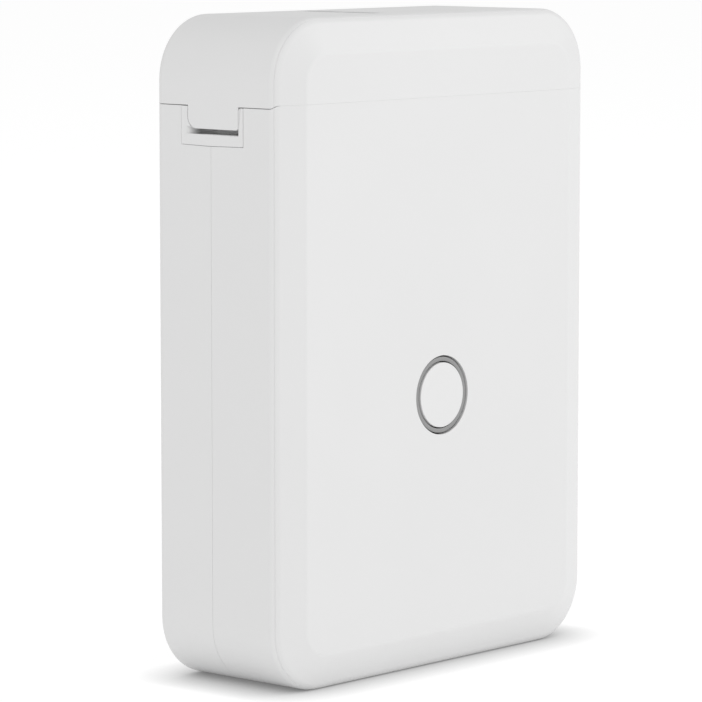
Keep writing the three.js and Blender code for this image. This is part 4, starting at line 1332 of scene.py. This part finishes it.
def board_tracks(rng, width=0.18):
    """Copper tracks under the solder mask, as thin raised runs."""
    y = spans("main_board")[1]
    tracks = []
    for i in range(16):
        x = -24 + i * 3.1
        low = rng.uniform(9, 20)
        high = rng.uniform(30, 56)
        bend = rng.uniform(-2.5, 2.5)
        middle = (low + high) / 2
        left = [(low, x), (middle, x), (middle + abs(bend), x + bend), (high, x + bend)]
        right = [(z, px + width) for z, px in reversed(left)]
        tracks.append(prism("track", left + right, "y", y[0] - 0.04, y[0] + 0.02))
    return merged("board_tracks_raised", tracks)


def usb_socket():
    x, y, z = spans("usb_socket")
    radius = (y[1] - y[0]) / 2
    middle = sum(y) / 2
    ends = within(z, radius)
    can = prism("usb_socket_can", stadium(middle, ends, radius, 16), "x", *x)
    cut(can, prism("mouth", stadium(middle, ends, radius - 0.3, 16), "x", x[0] + 1.6, FAR))
    tongue_y = (middle - 0.35, middle + 0.35)
    join(can, rounded("tongue", (x[0] + 1, x[1] - 0.8), tongue_y, within(z, 1.4), 0.2, "x", 3))
    return soften(can, 0.08)


def usb_contacts(count=6, pitch=0.92):
    x, y, z = spans("usb_socket")
    middle = sum(y) / 2
    strip_x = (x[0] + 2.5, x[1] - 1.3)
    strip_y = (middle - 0.38, middle + 0.38)
    places = [z[0] + 2.2 + i * pitch for i in range(count)]
    strips = [block("strip", strip_x, strip_y, (place - 0.2, place + 0.2)) for place in places]
    return merged("usb_contact_strips", strips)


def battery():
    x, y, z = spans("battery")
    return soften(rounded("battery_pouch", (x[0] + 4, x[1]), y, z, 1.6, "x", 6), 1.1, 4)


def battery_flap():
    """The flat sealed end of the pouch."""
    x, y, z = spans("battery")
    middle = sum(y) / 2
    flap_y = (middle - 0.25, middle + 0.25)
    return soften(rounded("battery_flap", (x[0], x[0] + 5), flap_y, within(z, 1), 0.2, "x", 2), 0.08)


def battery_tape():
    x, y, z = spans("battery")
    tape_x = (x[0] + 3.6, x[0] + 10)
    tape = rounded("battery_tape_band", tape_x, within(y, -0.05), within(z, -0.05), 1.6, "x", 6)
    return soften(tape, 0.5, 3)


LEAD_ROUTE = [(-22.5, 4, 34), (-25.5, 3, 34.5), (-26.5, -1, 37), (-24, -4.5, 38), (-18, -6.2, 38)]
CABLE_ROUTE = [
    (-11.4, 1.6, 92.3),
    (-15, 1.5, 92.2),
    (-21, 1.2, 92.6),
    (-25.4, 0.2, 92),
    (-27, -1.6, 88),
    (-27, -3.4, 80),
    (-26, -5, 71),
    (-24.6, -6.4, 65),
    (-24.5, -6.4, 61.5),
]


def smooth_route(points, steps=8):
    """A Catmull-Rom curve through points."""
    path = [Vector(p) for p in points]
    ends = [path[0] * 2 - path[1]] + path + [path[-1] * 2 - path[-2]]
    route = []
    for a, b, c, d in zip(ends, ends[1:], ends[2:], ends[3:]):
        for i in range(steps):
            t = i / steps
            curve = 2 * b + (c - a) * t + (2 * a - 5 * b + 4 * c - d) * t * t
            route.append((curve + (3 * b - a - 3 * c + d) * t ** 3) * 0.5)
    return route + [path[-1]]


def wires(name, route, offsets, radius):
    """Wires side by side along a route; each offset is (across, up) and may turn along the way."""
    path = smooth_route(route)
    strands = []
    for offset in offsets:
        strand = []
        for i, point in enumerate(path):
            ahead = heading(path, i)
            across = ahead.cross(Vector((0, 1, 0.3))).normalized()
            up = across.cross(ahead)
            a, b = offset(i / (len(path) - 1))
            strand.append(point + across * a + up * b)
        strands.append(wire("strand", strand, radius, 8))
    return smoothed(merged(name, strands), 50)


def flat_offset(place):
    return lambda t: (0.0, place)


def twist_offset(phase):
    return lambda t: (0.3 * math.cos(phase + 9 * t), 0.3 * math.sin(phase + 9 * t))


def battery_lead():
    return wires("battery_lead_pair", LEAD_ROUTE, [twist_offset(0), twist_offset(math.pi)], 0.27)


def head_cable():
    """A ribbon of five wires."""
    return wires("head_cable_ribbon", CABLE_ROUTE, [flat_offset(0.32 * (k - 2)) for k in range(5)], 0.17)


# ---- inner pieces in place

finish_piece(label_roll(), "label_paper", "roll", "label_roll")
finish_piece(roll_core(), "core_board", "roll", "roll_core")
finish_piece(label_band(), "label_paper", "housing", "label_web")
finish_piece(compound_gear(), "gear_nylon", "compound_gear_body", "compound_gear")
finish_piece(platen_gear(), "gear_nylon", "platen", "platen_gear")
finish_piece(motor_pinion(), "brass", "motor_rotor", "motor_pinion")
finish_piece(platen_roller(), "platen_rubber", "platen", "platen_roller")
SPINDLES = {
    "platen_shaft": ("platen", PLATEN_X, PLATEN_Z, (-10.0, 11.1)),
    "motor_shaft": ("motor_rotor", MOTOR_X, MOTOR_Z, ()),
    "gear_stud": ("housing", COMPOUND_X, COMPOUND_Z, ()),
    "head_pivot": ("housing", *middle_of("head_pivot")[::2], (11.15,)),
    "hinge_pin": ("housing", HINGE_X, RIM_Z, ()),
}
for node, (body, x, z, grooves) in SPINDLES.items():
    finish_piece(spindle(node, x, z, grooves), "steel", body, node)
for node in ("platen_bush_front", "platen_bush_back"):
    finish_piece(bush(node), "brass", "lid", node)
for node in ("head_spring_front", "head_spring_back"):
    finish_piece(head_spring(node), "steel", "housing", node)
finish_piece(motor(), "motor_can", "housing", "motor")
SCREWS = {
    "shell_screw": ("housing", 4, "y", 1),
    "lid_screw": ("lid", 2, "z", -1),
    "motor_screw": ("housing", 2, "y", -1),
    "frame_screw": ("housing", 2, "y", -1),
    "bay_screw": ("housing", 2, "y", -1),
    "board_screw": ("housing", 2, "y", 1),
}
for kind, (body, count, along, sign) in SCREWS.items():
    for i in range(count):
        node = f"{kind}_{i + 1}"
        finish_piece(screw(node, along, sign), "steel", body, node)
finish_piece(print_frame(), "black_plastic", "housing", "print_frame")
finish_piece(roll_bay(), "bay_plastic", "housing", "roll_bay")
finish_piece(lid_frame(), "black_plastic", "lid", "lid_frame")
finish_piece(print_head(), "head_ceramic", "head", "print_head")
finish_piece(head_cover(), "chip_plastic", "head")
finish_piece(heat_sink(), "aluminium", "head", "head_heatsink")
rng = random.Random(11)
finish_piece(main_board(), "circuit_board", "housing", "main_board")
board_parts(rng)
finish_piece(board_tracks(rng), "circuit_board", "housing")
finish_piece(usb_socket(), "steel", "housing", "usb_socket")
finish_piece(usb_contacts(), "brass", "housing")
finish_piece(battery(), "battery_foil", "housing", "battery")
finish_piece(battery_flap(), "battery_foil", "housing")
finish_piece(battery_tape(), "cable_film", "housing")
finish_piece(battery_lead(), "lead_sleeve", "housing", "battery_lead")
finish_piece(head_cable(), "cable_film", "housing", "head_cable")

# CAD nodes that keep their shape: softened edges and a finish of their own.
KEPT_NODES = {
    "tear_bar": "steel",
    "bluetooth_module": "motor_can",
    "tact_switch": "chip_plastic",
    "control_chip": "chip_plastic",
    "gap_sensor": "chip_plastic",
    "head_connector": "connector_nylon",
}
for node, slot in KEPT_NODES.items():
    item = frame["nodes"][node]
    item.data.materials.clear()
    item.data.materials.append(materials[slot])
    edge = item.modifiers.new("soft_edges", "BEVEL")
    edge.width = 0.08 * MM
    edge.segments = 2
    edge.limit_method = "ANGLE"
    edge.angle_limit = math.radians(30)

# ---- floor, light and camera

FLOOR_HALF = 6000
FLOOR_GLOW = 0.77
FLOOR_TONE = 0.3
SHADE_REACH = 7.5  # from the object at which the floor's glow is at its full strength
SHADE_DEEPEST = 0.13  # the share of the floor's glow that is left where no sky is seen
SKY = 0.7
STUDIO_LIGHTS = {  # place and size in metres, power in watts
    "front_light": ((-0.5, -1.4, 0.8), (1.0, 1.0), 3.4),
    "right_light": ((1.2, -0.9, 0.5), (0.9, 0.9), 5.4),
    "high_left_light": ((-0.9, 0.0, 1.3), (0.8, 0.8), 3.5),
}
CAMERA_AZIMUTH = math.radians(-48.371)
CAMERA_ELEVATION = math.radians(6.672)
CAMERA_DISTANCE = 654.08
CAMERA_LENS = 206.8
CAMERA_TARGET = (-2.70, 3.03, 50.02)


def stage_floor():
    far = FLOOR_HALF
    corners = [(-far, -far, 0), (far, -far, 0), (far, far, 0), (-far, far, 0)]
    floor = make_piece("floor", corners, [(0, 1, 2, 3)])
    material, tree, shader = new_material("floor_paper", (FLOOR_TONE,) * 3, 0.9)
    # Painted contact shadow: the floor's glow is dimmed by ambient occlusion near the object.
    nearby = add_node(tree, "AmbientOcclusion", {"Distance": SHADE_REACH * MM})
    nearby.samples = 16
    values = {
        "Specular IOR Level": 0.0,
        "Emission Strength": FLOOR_GLOW,
        "Emission Color": spread(tree, nearby.outputs["AO"], (SHADE_DEEPEST, 1)),
    }
    set_inputs(tree, shader, values)
    floor.data.materials.append(material)


def stage_light():
    world = bpy.data.worlds.new("studio")
    world.use_nodes = True
    background = world.node_tree.nodes["Background"]
    background.inputs["Color"].default_value = (1, 1, 1, 1)
    background.inputs["Strength"].default_value = SKY
    bpy.context.scene.world = world
    middle = Vector((0, 0, HEIGHT / 2 * MM))
    for name, (place, size, power) in STUDIO_LIGHTS.items():
        data = bpy.data.lights.new(name, "AREA")
        data.shape = "RECTANGLE"
        data.size, data.size_y = size
        data.energy = power
        light = new_object(data)
        light.location = place
        light.rotation_euler = (middle - Vector(place)).to_track_quat("-Z", "Y").to_euler()


def stage_camera():
    data = bpy.data.cameras.new("camera")
    data.lens = CAMERA_LENS
    data.sensor_width = 36
    data.clip_end = 50
    camera = new_object(data)
    level = Vector((math.sin(CAMERA_AZIMUTH), -math.cos(CAMERA_AZIMUTH), 0))
    out = level * math.cos(CAMERA_ELEVATION) + Vector((0, 0, math.sin(CAMERA_ELEVATION)))
    camera.location = (Vector(CAMERA_TARGET) + out * CAMERA_DISTANCE) * MM
    camera.rotation_euler = (-out).to_track_quat("-Z", "Y").to_euler()
    bpy.context.scene.camera = camera


stage_floor()
stage_light()
stage_camera()
bpy.context.scene.view_settings.view_transform = "Standard"
